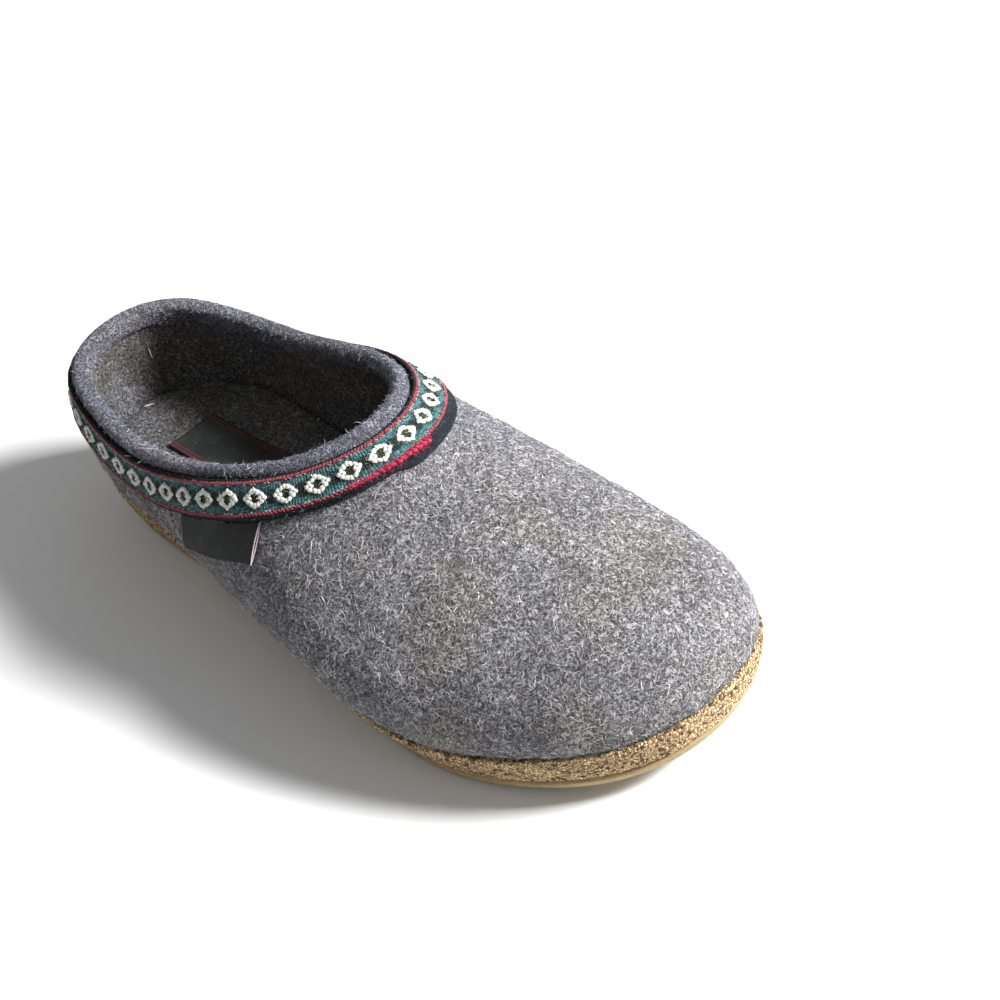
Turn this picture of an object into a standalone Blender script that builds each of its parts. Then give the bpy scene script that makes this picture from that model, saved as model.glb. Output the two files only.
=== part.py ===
"""Felt clog slipper for the right foot: cork midsole on a rubber outsole, felt footbed, one-piece felt upper
with a closed heel, a felt roll bound over its collar, and a woven ribbon on a dark felt backing round it.

+Y points to the toe, +X to the wearer's right (the outer side of a right shoe), +Z up. The origin is on the
floor under the heel, at the centre of the heel's flat spot.
"""

import math

import bmesh
import bpy
import numpy as np
from mathutils import Vector

MM = 0.001

# Sole
SOLE_LENGTH = 262 * MM
BALL_WIDTH = 101 * MM
HEEL_STACK = 20.4 * MM
FOREFOOT_STACK = 15.2 * MM
OUTSOLE_THICKNESS = 4.5 * MM
TOE_SPRING = 11 * MM
ARCH_LIFT = 2.5 * MM
HEEL_BEVEL = 1.6 * MM
OUTSOLE_SETBACK = 0.8 * MM

# Upper, heights above the floor
FELT_THICKNESS = 3.3 * MM
FEATHER_INSET = 1.0 * MM
COLLAR_LENGTH = 137.3 * MM
COLLAR_WIDTH = 72 * MM
COLLAR_SETBACK = 4.3 * MM
BACK_HEIGHT = 63.8 * MM
SIDE_HEIGHT = 57 * MM
THROAT_HEIGHT = 77.2 * MM

# Collar roll, ribbon and its backing, measured down the wall from the collar's edge
ROLL_THICKNESS = 1.1 * MM
ROLL_CROWN = 0.6
ROLL_SIDE_DEPTH = 2 * MM
ROLL_FRONT_DEPTH = 4.6 * MM
ROLL_INNER_DEPTH = 6 * MM
RIBBON_WIDTH = 12.3 * MM
RIBBON_THICKNESS = 0.9 * MM
BACKING_THICKNESS = 1.2 * MM
BACKING_MARGIN = 0.6 * MM
BACKING_TONGUE = 2.6 * MM

# Footbed and labels
FOOTBED_THICKNESS = 6 * MM
FOOTBED_CUP = 2.5 * MM
ARCH_SUPPORT = 4 * MM
LABEL_STATION = 0.12
LABEL_LENGTH = 58 * MM
LABEL_WIDTH = 21 * MM
LABEL_THICKNESS = 0.6 * MM
TAG_LENGTH = 37 * MM
TAG_DROP = 12.5 * MM
TAG_LEAN = 5 * MM
TAG_THICKNESS = 0.8 * MM
TAG_TURN = math.radians(92)

# Details shared by the sole's layers
EDGE_ROUND = 0.8 * MM
TOP_ROUND = 0.6 * MM
CUP_REACH = 24 * MM
FOOTBED_CLEARANCE = 0.9 * MM

GAP = 0.3 * MM
LEDGE = FEATHER_INSET + FELT_THICKNESS + GAP
COLUMNS = 72
WALL_ROWS = 12
CUP_ROWS = 10

# Plan of the sole: station along the length, centre line and half width as shares of the ball width.
PLAN = (
    # station, centre, half
    (0.000, 0.000, 0.000),
    (0.030, 0.000, 0.215),
    (0.090, 0.000, 0.320),
    (0.180, 0.000, 0.360),
    (0.300, 0.020, 0.370),
    (0.420, 0.040, 0.395),
    (0.540, 0.040, 0.435),
    (0.660, 0.025, 0.500),
    (0.760, -0.005, 0.505),
    (0.860, -0.060, 0.450),
    (0.940, -0.100, 0.345),
    (0.985, -0.115, 0.195),
    (1.000, -0.110, 0.000),
)

# How far the sole's side slopes in from its top edge to the floor, as shares of the ball width.
SOLE_SIDE = (
    # station, undercut
    (0.0, 0.035),
    (0.2, 0.045),
    (0.4, 0.065),
    (0.6, 0.065),
    (0.8, 0.025),
    (1.0, 0.010),
)

# Plan of the collar's edge: station along its length, centre line and half width as shares of the collar width.
COLLAR = (
    # station, centre, half
    (0.000, 0.015, 0.000),
    (0.060, 0.020, 0.300),
    (0.180, 0.015, 0.420),
    (0.360, 0.015, 0.490),
    (0.560, 0.020, 0.505),
    (0.740, 0.010, 0.470),
    (0.900, -0.010, 0.330),
    (0.975, -0.010, 0.160),
    (1.000, -0.005, 0.000),
)

# Line of the collar from the side: station along its length, share of the back, side and throat heights.
TOPLINE = (
    # station, back, side, throat
    (0.00, 1.00, 0.00, 0.00),
    (0.20, 0.60, 0.38, 0.00),
    (0.45, 0.05, 0.90, 0.05),
    (0.70, 0.00, 0.55, 0.45),
    (0.88, 0.00, 0.10, 0.85),
    (1.00, 0.00, 0.00, 1.00),
)

# How the wall leaves the sole and meets the collar, by the station of its foot: how far it first rises, how
# far it bulges on either side, and how far it comes down from the collar, as shares of the throat's height,
# and how steeply, in degrees.
WALL = (
    # station, rise, outer bulge, inner bulge, reach, slope
    (0.0, 0.22, 0.065, 0.045, 0.155, 78),
    (0.2, 0.20, 0.095, 0.060, 0.155, 78),
    (0.4, 0.20, 0.150, 0.070, 0.190, 69),
    (0.6, 0.23, 0.180, 0.065, 0.385, 49),
    (0.8, 0.30, 0.100, 0.050, 0.610, 37),
    (1.0, 0.38, 0.065, 0.050, 0.780, 27),
)

HEEL_FLAT = (0.06, 0.26)
FOREFOOT_FLAT = (0.56, 0.76)
COLLAR_SKEW = 0.45

# Stations between which the sole steps down from the heel to the ball, the heel cup grows shallow, and the
# inner arch rises and falls, and how far from the centre line the arch is full, as a share of the half width.
STEP_DOWN = (0.16, 0.66)
CUP_SHALLOWS = (0.2, 0.5)
CUP_SHALLOWER = 0.6
ARCH_RISES = (0.20, 0.38)
ARCH_FALLS = (0.42, 0.62)
ARCH_FULL = 0.6
TOE_CURVE = 1.8

# The side of the midsole: share of its height at which it has come out to this share of the undercut.
SIDE_KNEE_HEIGHT = 0.6
SIDE_KNEE_UNDERCUT = 0.3

# Turns from the heel between which the roll grows deep and the backing's tongue comes out on either side.
ROLL_GROWS = (math.radians(70), math.radians(170))
TONGUE_OUTER = (math.radians(168), math.radians(179))
TONGUE_INNER = (math.radians(75), math.radians(125))

# Quads along and across the two labels
TAG_GRID = (8, 5)
LABEL_GRID = (8, 4)


class Spline:
    """A smooth curve through table rows. Its end slopes are left free, or are level where the shape is
    symmetric about the shoe's centre line."""

    def __init__(self, angles, values, level_ends):
        self.angles = np.array(angles)
        self.values = np.array(values)
        count = len(angles)
        step = np.diff(self.angles)
        slope = np.diff(self.values) / step
        matrix = np.zeros((count, count))
        right = np.zeros(count)
        for i in range(1, count - 1):
            matrix[i, i - 1 : i + 2] = step[i - 1], 2 * (step[i - 1] + step[i]), step[i]
            right[i] = 6 * (slope[i] - slope[i - 1])
        if level_ends:
            matrix[0, :2] = 2 * step[0], step[0]
            matrix[-1, -2:] = step[-1], 2 * step[-1]
            right[0] = 6 * slope[0]
            right[-1] = -6 * slope[-1]
        else:
            matrix[0, 0] = matrix[-1, -1] = 1
        self.bend = np.linalg.solve(matrix, right)
        self.step = step
        self.slope = slope

    def __call__(self, angle):
        i = int(np.clip(np.searchsorted(self.angles, angle) - 1, 0, len(self.step) - 1))
        h = self.step[i]
        d = angle - self.angles[i]
        first, last = self.bend[i], self.bend[i + 1]
        start = self.slope[i] - h * (2 * first + last) / 6
        return float(self.values[i] + d * (start + d * (first / 2 + d * (last - first) / (6 * h))))


def station_angle(station):
    """Stations lie on a half circle, so that a width that falls to nothing closes in a round end."""
    return math.acos(max(-1.0, min(1.0, 1 - 2 * station)))


def column(table, index, level_ends=True):
    return Spline([station_angle(row[0]) for row in table], [row[index] for row in table], level_ends)


PLAN_CENTRE, PLAN_HALF = column(PLAN, 1), column(PLAN, 2, level_ends=False)
COLLAR_CENTRE, COLLAR_HALF = column(COLLAR, 1), column(COLLAR, 2, level_ends=False)
UNDERCUT = column(SOLE_SIDE, 1)
TOP_BACK, TOP_SIDE, TOP_THROAT = (column(TOPLINE, i) for i in (1, 2, 3))
WALL_RISE, BULGE_OUTER, BULGE_INNER, WALL_REACH, WALL_SLOPE = (column(WALL, i) for i in (1, 2, 3, 4, 5))

HEEL_REST = SOLE_LENGTH * (HEEL_FLAT[0] + HEEL_FLAT[1]) / 2


def folded(turn):
    """A turn goes once round the shoe from the heel, by the outer side to the toe and back by the inner side.
    Gives the angle from heel to toe, and 1 on the outer side or -1 on the inner side."""
    turn = turn % (2 * math.pi)
    if turn <= math.pi:
        return turn, 1
    return 2 * math.pi - turn, -1


def along(station):
    """Place along the shoe, in metres from the origin, of a share of the sole's length."""
    return station * SOLE_LENGTH - HEEL_REST


def share_of(y):
    return (y + HEEL_REST) / SOLE_LENGTH


def smooth_step(start, end, value):
    t = max(0.0, min(1.0, (value - start) / (end - start)))
    return t * t * (3 - 2 * t)


def ground(y):
    """Underside of the sole: flat under heel and forefoot, lifted at the arch, the toe and the heel's edge."""
    s = share_of(y)
    if s < HEEL_FLAT[0]:
        return HEEL_BEVEL * (1 - s / HEEL_FLAT[0]) ** 2
    if s <= HEEL_FLAT[1]:
        return 0.0
    if s < FOREFOOT_FLAT[0]:
        t = (s - HEEL_FLAT[1]) / (FOREFOOT_FLAT[0] - HEEL_FLAT[1])
        return ARCH_LIFT * math.sin(math.pi * t) ** 2
    return toe_lift(y)


def toe_lift(y):
    """The toe spring alone, which every layer above the outsole follows."""
    s = share_of(y)
    return TOE_SPRING * (max(0.0, s - FOREFOOT_FLAT[1]) / (1 - FOREFOOT_FLAT[1])) ** TOE_CURVE


def feather(y):
    """Height of the midsole's top edge, where the upper stands."""
    return HEEL_STACK + (FOREFOOT_STACK - HEEL_STACK) * smooth_step(*STEP_DOWN, share_of(y)) + toe_lift(y)


def plan_point(turn, inset=0.0):
    """Point of the sole's outline, moved inwards by inset."""

    def at(t):
        angle, side = folded(t)
        x = BALL_WIDTH * (PLAN_CENTRE(angle) + side * PLAN_HALF(angle))
        return Vector((x, along((1 - math.cos(angle)) / 2), 0))

    step = 0.01
    ahead = (at(turn + step) - at(turn - step)).normalized()
    out = Vector((ahead.y, -ahead.x, 0))
    if out.dot(at(turn) - Vector((0, along(0.5), 0))) < 0:
        out = -out
    return at(turn) - out * inset, out


def collar_point(turn):
    """Point of the collar's edge on the outer face of the felt, and its outward direction in plan."""

    def at(t):
        angle, side = folded(t)
        angle = angle + COLLAR_SKEW * math.sin(angle)
        x = COLLAR_WIDTH * (COLLAR_CENTRE(angle) + side * COLLAR_HALF(angle))
        y = along(0) + COLLAR_SETBACK + COLLAR_LENGTH * (1 - math.cos(angle)) / 2
        z = BACK_HEIGHT * TOP_BACK(angle) + SIDE_HEIGHT * TOP_SIDE(angle) + THROAT_HEIGHT * TOP_THROAT(angle)
        return Vector((x, y, z))

    step = 0.01
    ahead = at(turn + step) - at(turn - step)
    out = Vector((ahead.y, -ahead.x, 0)).normalized()
    middle = Vector((0, along(0) + COLLAR_SETBACK + COLLAR_LENGTH / 2, 0))
    if out.dot(at(turn) - middle) < 0:
        out = -out
    return at(turn), out


def wall_curve(turn):
    """The four handles of the wall's profile, from its foot on the midsole up to the collar's edge."""
    angle, side = folded(turn)
    bulge = BULGE_OUTER(angle) if side > 0 else BULGE_INNER(angle)
    foot, foot_out = plan_point(turn, FEATHER_INSET)
    foot.z = feather(foot.y) + GAP
    top, top_out = collar_point(turn)
    slope = math.radians(WALL_SLOPE(angle))
    low = foot + Vector((0, 0, THROAT_HEIGHT * WALL_RISE(angle))) + foot_out * THROAT_HEIGHT * bulge
    down = top_out * math.cos(slope) - Vector((0, 0, math.sin(slope)))
    return foot, low, top + down * THROAT_HEIGHT * WALL_REACH(angle), top


def on_curve(handles, t):
    a, b, c, d = handles
    return a * (1 - t) ** 3 + b * 3 * t * (1 - t) ** 2 + c * 3 * t * t * (1 - t) + d * t**3


def wall_point(turn, climb):
    return on_curve(wall_curve(turn), climb)


def wall_frame(turn, climb):
    """Point on the felt's outer face, its outward normal and its upward tangent."""
    step = 0.004
    low, high = max(0.0, climb - step), min(1.0, climb + step)
    up = (wall_point(turn, high) - wall_point(turn, low)).normalized()
    ahead = wall_point(turn + step, climb) - wall_point(turn - step, climb)
    out = ahead.cross(up).normalized()
    _, foot_out = plan_point(turn)
    if out.dot(foot_out + Vector((0, 0, 0.5))) < 0:
        out = -out
    return wall_point(turn, climb), out, up


def collar_frame(turn, depth):
    """As wall_frame, at a depth down the wall from the collar's edge. A negative depth is above the edge."""
    if depth <= 0:
        point, out, up = wall_frame(turn, 1.0)
        return point - up * depth, out, up
    handles = wall_curve(turn)
    samples = 160
    here, gone = handles[3], 0.0
    for i in range(1, samples + 1):
        following = on_curve(handles, 1 - i / samples)
        length = (following - here).length
        if gone + length >= depth:
            climb = 1 - (i - 1 + (depth - gone) / length) / samples
            return wall_frame(turn, climb)
        here, gone = following, gone + length
    return wall_frame(turn, 0.0)


def off_wall(turn, offset, depth):
    """Point at an offset outside the felt's outer face, at a depth below the collar's edge."""
    point, out, _ = collar_frame(turn, depth)
    return point + out * offset


def turns():
    return [2 * math.pi * i / COLUMNS for i in range(COLUMNS)]


def material(name, colour, roughness):
    made = bpy.data.materials.new(name)
    made.use_nodes = True
    shader = made.node_tree.nodes["Principled BSDF"]
    shader.inputs["Base Color"].default_value = (*colour, 1)
    shader.inputs["Roughness"].default_value = roughness
    shader.inputs["Metallic"].default_value = 0.0
    return made


def finish(name, bm, finish_material):
    """Makes the mesh an object, with its faces pointing out and its round faces smooth."""
    bmesh.ops.recalc_face_normals(bm, faces=bm.faces)
    mesh = bpy.data.meshes.new(name)
    bm.to_mesh(mesh)
    bm.free()
    mesh.materials.append(finish_material)
    mesh.shade_smooth()
    mesh.set_sharp_from_angle(angle=math.radians(40))
    made = bpy.data.objects.new(name, mesh)
    bpy.context.scene.collection.objects.link(made)
    return made


def add_rings(bm, rings):
    """Rings of points as vertices, with quads between each ring and the next."""
    made = [[bm.verts.new(p) for p in ring] for ring in rings]
    for low, high in zip(made, made[1:]):
        stitch(bm, low, high)
    return made


def stitch(bm, low, high):
    count = len(low)
    for i in range(count):
        j = (i + 1) % count
        bm.faces.new((low[i], low[j], high[j], high[i]))


def band(name, sections, finish_material):
    """A ring-shaped solid from its closed cross sections, one at each turn round the shoe."""
    bm = bmesh.new()
    made = add_rings(bm, sections)
    stitch(bm, made[-1], made[0])
    return finish(name, bm, finish_material)


def patch(name, grid, back_grid, finish_material):
    """A slab from a grid of points on its face and the same grid on its back."""
    bm = bmesh.new()
    face = [[bm.verts.new(p) for p in row] for row in grid]
    back = [[bm.verts.new(p) for p in row] for row in back_grid]
    for side in (face, back):
        for low, high in zip(side, side[1:]):
            for i in range(len(low) - 1):
                bm.faces.new((low[i], low[i + 1], high[i + 1], high[i]))
    rim = edge_of(face)
    rim_back = edge_of(back)
    stitch(bm, rim, rim_back)
    return finish(name, bm, finish_material)


def edge_of(grid):
    first = grid[0]
    last = grid[-1]
    right = [row[-1] for row in grid[1:-1]]
    left = [row[0] for row in grid[-2:0:-1]]
    return first + right + last[::-1] + left


def layer(name, side_rings, under, over, finish_material):
    """A sole layer. side_rings are the share of the undercut, the inset and the height(y) of its side's rings
    from the bottom up. under and over are the rows across and height(x, y) of its underside and its top."""
    bm = bmesh.new()
    rings = []
    for undercut, inset, height in side_rings:
        ring = []
        for turn in turns():
            angle, _ = folded(turn)
            point, _ = plan_point(turn, undercut * BALL_WIDTH * UNDERCUT(angle) + inset)
            ring.append(Vector((point.x, point.y, height(point.y))))
        rings.append(ring)
    made = add_rings(bm, rings)
    cap(bm, made[0], *under)
    cap(bm, made[-1], *over)
    return finish(name, bm, finish_material)


def cap(bm, ring, rows_across, height):
    """Fills a ring with rows of quads that run across the shoe, at height(x, y)."""
    half = COLUMNS // 2
    rows = []
    for i in range(1, half):
        outer, inner = ring[i], ring[COLUMNS - i]
        row = [outer]
        for j in range(1, rows_across):
            point = outer.co.lerp(inner.co, j / rows_across)
            row.append(bm.verts.new((point.x, point.y, height(point.x, point.y))))
        row.append(inner)
        rows.append(row)
    for low, high in zip(rows, rows[1:]):
        for j in range(rows_across):
            bm.faces.new((low[j], low[j + 1], high[j + 1], high[j]))
    for tip, row in ((ring[0], rows[0]), (ring[half], rows[-1])):
        for j in range(rows_across):
            bm.faces.new((tip, row[j], row[j + 1]))


def across(x, y):
    """Place across the shoe, from -1 on the outline's inner side to 1 on its outer side, and the half width."""
    angle = station_angle(share_of(y))
    half = BALL_WIDTH * PLAN_HALF(angle)
    return (x - BALL_WIDTH * PLAN_CENTRE(angle)) / half, half


def cup(x, y):
    """Drop of the footbed below the feather line: a heel cup that grows shallow under the forefoot, with a
    raised inner arch. There is none under the wall and it deepens inwards from there."""
    q, half = across(x, y)
    side = half * (1 - abs(q)) - LEDGE
    end = min(y - along(0), along(1) - y) - LEDGE
    bowl = FOOTBED_CUP * smooth_step(0, CUP_REACH, side) * smooth_step(0, CUP_REACH, end)
    shallow = 1 - CUP_SHALLOWER * smooth_step(*CUP_SHALLOWS, share_of(y))
    arch = smooth_step(*ARCH_RISES, share_of(y)) * (1 - smooth_step(*ARCH_FALLS, share_of(y)))
    inner_side = smooth_step(0.0, ARCH_FULL, -q) * smooth_step(0, CUP_REACH / 2, side)
    return bowl * shallow - ARCH_SUPPORT * arch * inner_side


def build_outsole(rubber):
    def top(y):
        return ground(y) + OUTSOLE_THICKNESS

    rings = (
        (1, OUTSOLE_SETBACK + EDGE_ROUND, ground),
        (1, OUTSOLE_SETBACK, lambda y: ground(y) + EDGE_ROUND),
        (1, 0.0, top),
    )
    layer("outsole", rings, (1, lambda x, y: ground(y)), (1, lambda x, y: top(y)), rubber)


def build_midsole(cork):
    def bottom(y):
        return ground(y) + OUTSOLE_THICKNESS + GAP

    rings = (
        (1, 0.0, bottom),
        (SIDE_KNEE_UNDERCUT, 0.0, lambda y: bottom(y) + SIDE_KNEE_HEIGHT * (feather(y) - bottom(y))),
        (0, 0.0, lambda y: feather(y) - EDGE_ROUND),
        (0, TOP_ROUND, feather),
        (0, LEDGE + FOOTBED_CLEARANCE, feather),
    )
    under = (1, lambda x, y: bottom(y))
    over = (CUP_ROWS, lambda x, y: feather(y) - cup(x, y))
    layer("midsole", rings, under, over, cork)


def footbed_height(x, y):
    return feather(y) + GAP - cup(x, y) + FOOTBED_THICKNESS


def build_footbed(felt):
    inset = LEDGE + FOOTBED_CLEARANCE

    def low(y):
        return feather(y) + GAP

    rings = (
        (0, inset, low),
        (0, inset, lambda y: low(y) + FOOTBED_THICKNESS - EDGE_ROUND),
        (0, inset + EDGE_ROUND, lambda y: low(y) + FOOTBED_THICKNESS),
    )
    under = (CUP_ROWS, lambda x, y: low(y) - cup(x, y))
    layer("footbed", rings, under, (CUP_ROWS, footbed_height), felt)


def build_upper(felt):
    """The felt wall: rings up its outer face, over the collar's edge and down its inner face."""
    outer, inner = [], []
    for row in range(WALL_ROWS + 1):
        climb = row / WALL_ROWS
        ring, inner_ring = [], []
        for turn in turns():
            point, out, _ = wall_frame(turn, climb)
            ring.append(point)
            inside = point - out * FELT_THICKNESS
            if row == 0:
                inside.z = feather(inside.y) + GAP
            inner_ring.append(inside)
        outer.append(ring)
        inner.append(inner_ring)
    bm = bmesh.new()
    made = add_rings(bm, outer + inner[::-1])
    stitch(bm, made[-1], made[0])
    finish("upper", bm, felt)


def front_share(turn):
    """How far a turn has come from the collar's sides to the front of its throat."""
    angle, _ = folded(turn)
    return smooth_step(*ROLL_GROWS, angle)


def roll_depth(turn):
    return ROLL_SIDE_DEPTH + (ROLL_FRONT_DEPTH - ROLL_SIDE_DEPTH) * front_share(turn)


def ribbon_top(turn):
    return roll_depth(turn) + GAP


def ribbon_bottom(turn):
    return ribbon_top(turn) + RIBBON_WIDTH


def build_roll(felt):
    """The felt roll over the collar's edge, a hook in cross section that reaches further down inside."""
    outside = GAP + ROLL_THICKNESS
    inside = -FELT_THICKNESS - GAP
    middle = (outside + inside - ROLL_THICKNESS) / 2
    radius = outside - middle
    sections = []
    for turn in turns():
        depth = roll_depth(turn)
        section = [off_wall(turn, GAP, depth), off_wall(turn, outside, depth)]
        for degrees in (0, 30, 60, 90, 120, 150, 180):
            a = math.radians(degrees)
            section.append(off_wall(turn, middle + radius * math.cos(a), -radius * ROLL_CROWN * math.sin(a)))
        section += [
            off_wall(turn, inside - ROLL_THICKNESS, ROLL_INNER_DEPTH),
            off_wall(turn, inside, ROLL_INNER_DEPTH),
            off_wall(turn, inside, -GAP),
            off_wall(turn, GAP, -GAP),
        ]
        sections.append(section)
    band("collar_roll", sections, felt)


def strip_section(turn, offset, thickness, top, bottom, rows=2):
    depths = [top + (bottom - top) * i / rows for i in range(rows + 1)]
    face = [off_wall(turn, offset + thickness, d) for d in depths]
    back = [off_wall(turn, offset, d) for d in reversed(depths)]
    return face + back


def backing_bottom(turn):
    """The backing shows a little below the ribbon, and more across the front of the throat."""
    angle, side = folded(turn)
    front = smooth_step(*(TONGUE_OUTER if side > 0 else TONGUE_INNER), angle)
    return ribbon_bottom(turn) + BACKING_MARGIN + BACKING_TONGUE * front


def build_backing(felt):
    sections = [
        strip_section(turn, GAP, BACKING_THICKNESS, ribbon_top(turn), backing_bottom(turn))
        for turn in turns()
    ]
    band("ribbon_backing", sections, felt)


def build_ribbon(woven):
    offset = GAP + BACKING_THICKNESS + GAP
    sections = [
        strip_section(turn, offset, RIBBON_THICKNESS, ribbon_top(turn), ribbon_bottom(turn))
        for turn in turns()
    ]
    band("ribbon", sections, woven)


def turn_at(distance, depth, start):
    """The turn at which a line down the wall at this depth has run this far from the turn start."""
    step = math.radians(0.5) * (1 if distance > 0 else -1)
    here, gone, turn = off_wall(start, 0, depth), 0.0, start
    while gone < abs(distance):
        turn += step
        following = off_wall(turn, 0, depth)
        gone += (following - here).length
        here = following
    return turn


def build_tag(woven):
    """The woven side tag, which hangs from under the backing's lower edge and leans to the heel."""
    depth = backing_bottom(TAG_TURN)
    count, rows = TAG_GRID
    face, back = [], []
    for row in range(rows + 1):
        drop = GAP + TAG_DROP * row / rows
        lean = -TAG_LEAN * row / rows
        start, end = (turn_at(sign * TAG_LENGTH / 2 + lean, depth, TAG_TURN) for sign in (-1, 1))
        turns_across = [start + (end - start) * i / count for i in range(count + 1)]
        face.append([off_wall(t, GAP + TAG_THICKNESS, backing_bottom(t) + drop) for t in turns_across])
        back.append([off_wall(t, GAP, backing_bottom(t) + drop) for t in turns_across])
    patch("side_tag", face, back, woven)


def build_label(woven):
    """The woven label on the footbed's heel."""
    start = along(LABEL_STATION)
    rows, count = LABEL_GRID
    face, back = [], []
    for row in range(rows + 1):
        y = start + LABEL_LENGTH * row / rows
        places = [LABEL_WIDTH * (i / count - 0.5) for i in range(count + 1)]
        low = [Vector((x, y, footbed_height(x, y) + GAP)) for x in places]
        back.append(low)
        face.append([p + Vector((0, 0, LABEL_THICKNESS)) for p in low])
    patch("footbed_label", face, back, woven)


def main():
    for old in list(bpy.data.objects):
        bpy.data.objects.remove(old)
    grey_felt = material("grey_felt", (0.16, 0.15, 0.155), 0.95)
    roll_felt = material("roll_felt", (0.20, 0.195, 0.22), 0.95)
    navy_felt = material("navy_felt", (0.012, 0.014, 0.022), 0.95)
    ribbon_weave = material("ribbon_weave", (0.06, 0.20, 0.18), 0.85)
    black_weave = material("black_weave", (0.012, 0.014, 0.015), 0.7)
    cork = material("cork", (0.36, 0.22, 0.11), 0.9)
    rubber = material("rubber", (0.42, 0.31, 0.17), 0.75)
    build_outsole(rubber)
    build_midsole(cork)
    build_footbed(grey_felt)
    build_upper(grey_felt)
    build_roll(roll_felt)
    build_backing(navy_felt)
    build_ribbon(ribbon_weave)
    build_tag(black_weave)
    build_label(black_weave)


if __name__ == "__main__":
    main()
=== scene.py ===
"""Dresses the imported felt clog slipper: smooth felt with its creases and loose wool fibres, the woven
ribbon with its stitched pattern, labels, granulated cork and rubber. +Y is the toe, +X the outer side and
+Z up, in metres."""

import math

import bmesh
import bpy
import numpy as np
from mathutils import Matrix, Vector, noise
from mathutils.bvhtree import BVHTree


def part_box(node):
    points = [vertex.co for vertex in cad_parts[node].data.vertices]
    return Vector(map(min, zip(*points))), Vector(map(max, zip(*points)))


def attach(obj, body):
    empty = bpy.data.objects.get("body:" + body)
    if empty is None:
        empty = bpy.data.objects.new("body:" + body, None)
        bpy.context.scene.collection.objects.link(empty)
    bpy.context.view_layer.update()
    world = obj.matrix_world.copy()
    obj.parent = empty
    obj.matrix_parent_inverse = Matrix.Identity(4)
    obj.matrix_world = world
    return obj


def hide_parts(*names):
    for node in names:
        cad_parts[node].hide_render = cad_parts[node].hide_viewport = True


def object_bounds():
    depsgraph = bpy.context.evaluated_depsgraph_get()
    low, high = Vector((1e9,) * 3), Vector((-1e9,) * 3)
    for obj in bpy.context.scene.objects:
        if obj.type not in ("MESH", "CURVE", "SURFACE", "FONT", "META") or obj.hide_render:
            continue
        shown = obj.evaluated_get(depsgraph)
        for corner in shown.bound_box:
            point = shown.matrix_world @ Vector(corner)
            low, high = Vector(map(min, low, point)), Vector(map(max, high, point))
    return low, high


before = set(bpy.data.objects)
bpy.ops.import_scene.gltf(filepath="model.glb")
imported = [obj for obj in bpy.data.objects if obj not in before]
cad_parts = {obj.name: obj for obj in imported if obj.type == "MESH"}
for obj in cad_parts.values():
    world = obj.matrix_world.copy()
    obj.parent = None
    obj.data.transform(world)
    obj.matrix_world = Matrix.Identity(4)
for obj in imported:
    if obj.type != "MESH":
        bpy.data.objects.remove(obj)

bl_info = {
    "name": "Felt clog slipper",
    "version": (1, 0, 0),
    "blender": (4, 5, 0),
    "location": "View3D > Sidebar > Slipper",
    "description": "Builds the dressed pieces of a felt clog slipper round its packed solids",
    "category": "Object",
}

MM = 0.001
LOWEST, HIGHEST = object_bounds()
SHOE_LENGTH = HIGHEST.y - LOWEST.y
SHOE_WIDTH = HIGHEST.x - LOWEST.x
SHOE_HEIGHT = HIGHEST.z

# Making the smooth pieces: how close corners merge, how far two triangles may bend and skew to pair up,
# and how sharp an edge between two sides is
MERGE = 0.005 * MM
QUAD_BEND = math.radians(50)
QUAD_SKEW = math.radians(70)
FIRM_EDGE = math.radians(50)

# Height of the line along the shoe that the upper's outer face looks away from, and how far from the
# ribbon its fibres start
CORE_HEIGHT = 20 * MM
BARE_FELT = 3 * MM

# The felt's soft creases. A row runs from a start to an end, each a share of the shoe's length from the
# heel, of its width from the middle to the outer side, and of its height. Width is a share of the shoe's
# width and depth a share of its height, below zero for a trough and above for a ridge.
CREASES = (
    # start: along, across, up; end: along, across, up; width, depth
    (0.50, 0.40, 0.55, 0.60, 0.50, 0.30, 0.16, -0.012),
    (0.58, 0.44, 0.55, 0.66, 0.52, 0.35, 0.12, 0.008),
    (0.52, -0.30, 0.70, 0.64, -0.46, 0.35, 0.14, -0.010),
    (0.62, -0.20, 0.80, 0.70, 0.28, 0.72, 0.16, -0.007),
    (0.74, -0.30, 0.62, 0.78, 0.22, 0.62, 0.14, 0.006),
    (0.86, -0.34, 0.46, 0.90, 0.10, 0.46, 0.14, -0.007),
    (0.28, 0.40, 0.60, 0.38, 0.44, 0.34, 0.14, -0.008),
    (0.02, -0.16, 0.66, 0.05, 0.22, 0.60, 0.14, -0.010),
)

# The line that the creases are pressed towards, as a share of the shoe's height
CREASE_CORE = 0.3

# Loose fibres: their length, how far they lift off the surface and the seed of their places
FIBRES = {
    "upper_fibres": (2.3 * MM, 0.7 * MM, 11),
    "shaded_inside_fibres": (2.8 * MM, 0.5 * MM, 12),
    "roll_fibres": (1.7 * MM, 0.7 * MM, 21),
    "backing_fibres": (1.8 * MM, 1.3 * MM, 31),
    "motif_fibres": (1.3 * MM, 0.5 * MM, 42),
    "ribbon_fibres": (1.3 * MM, 0.4 * MM, 43),
    "yarn_end_fibres": (1.4 * MM, 0.9 * MM, 44),
    "footbed_shaded_fibres": (2.6 * MM, 0.5 * MM, 51),
}
INSIDE_FIBRES = 9000
BACKING_FIBRES = 9000
MOTIF_FIBRES = 3500
RIBBON_FIBRES = 7000
YARN_FIBRES = 900
YARN_HAIR = 0.08 * MM
MOTIF_HAIR = 0.09 * MM

# A fibre's number of bends, how its length, its turn at a bend and its tilt vary, and its root's depth
FIBRE_STEPS = 3
FIBRE_SPREAD = 0.35
FIBRE_CURL = 0.85
FIBRE_LEAN = 0.5
FIBRE_ROOT = 0.05 * MM


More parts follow.
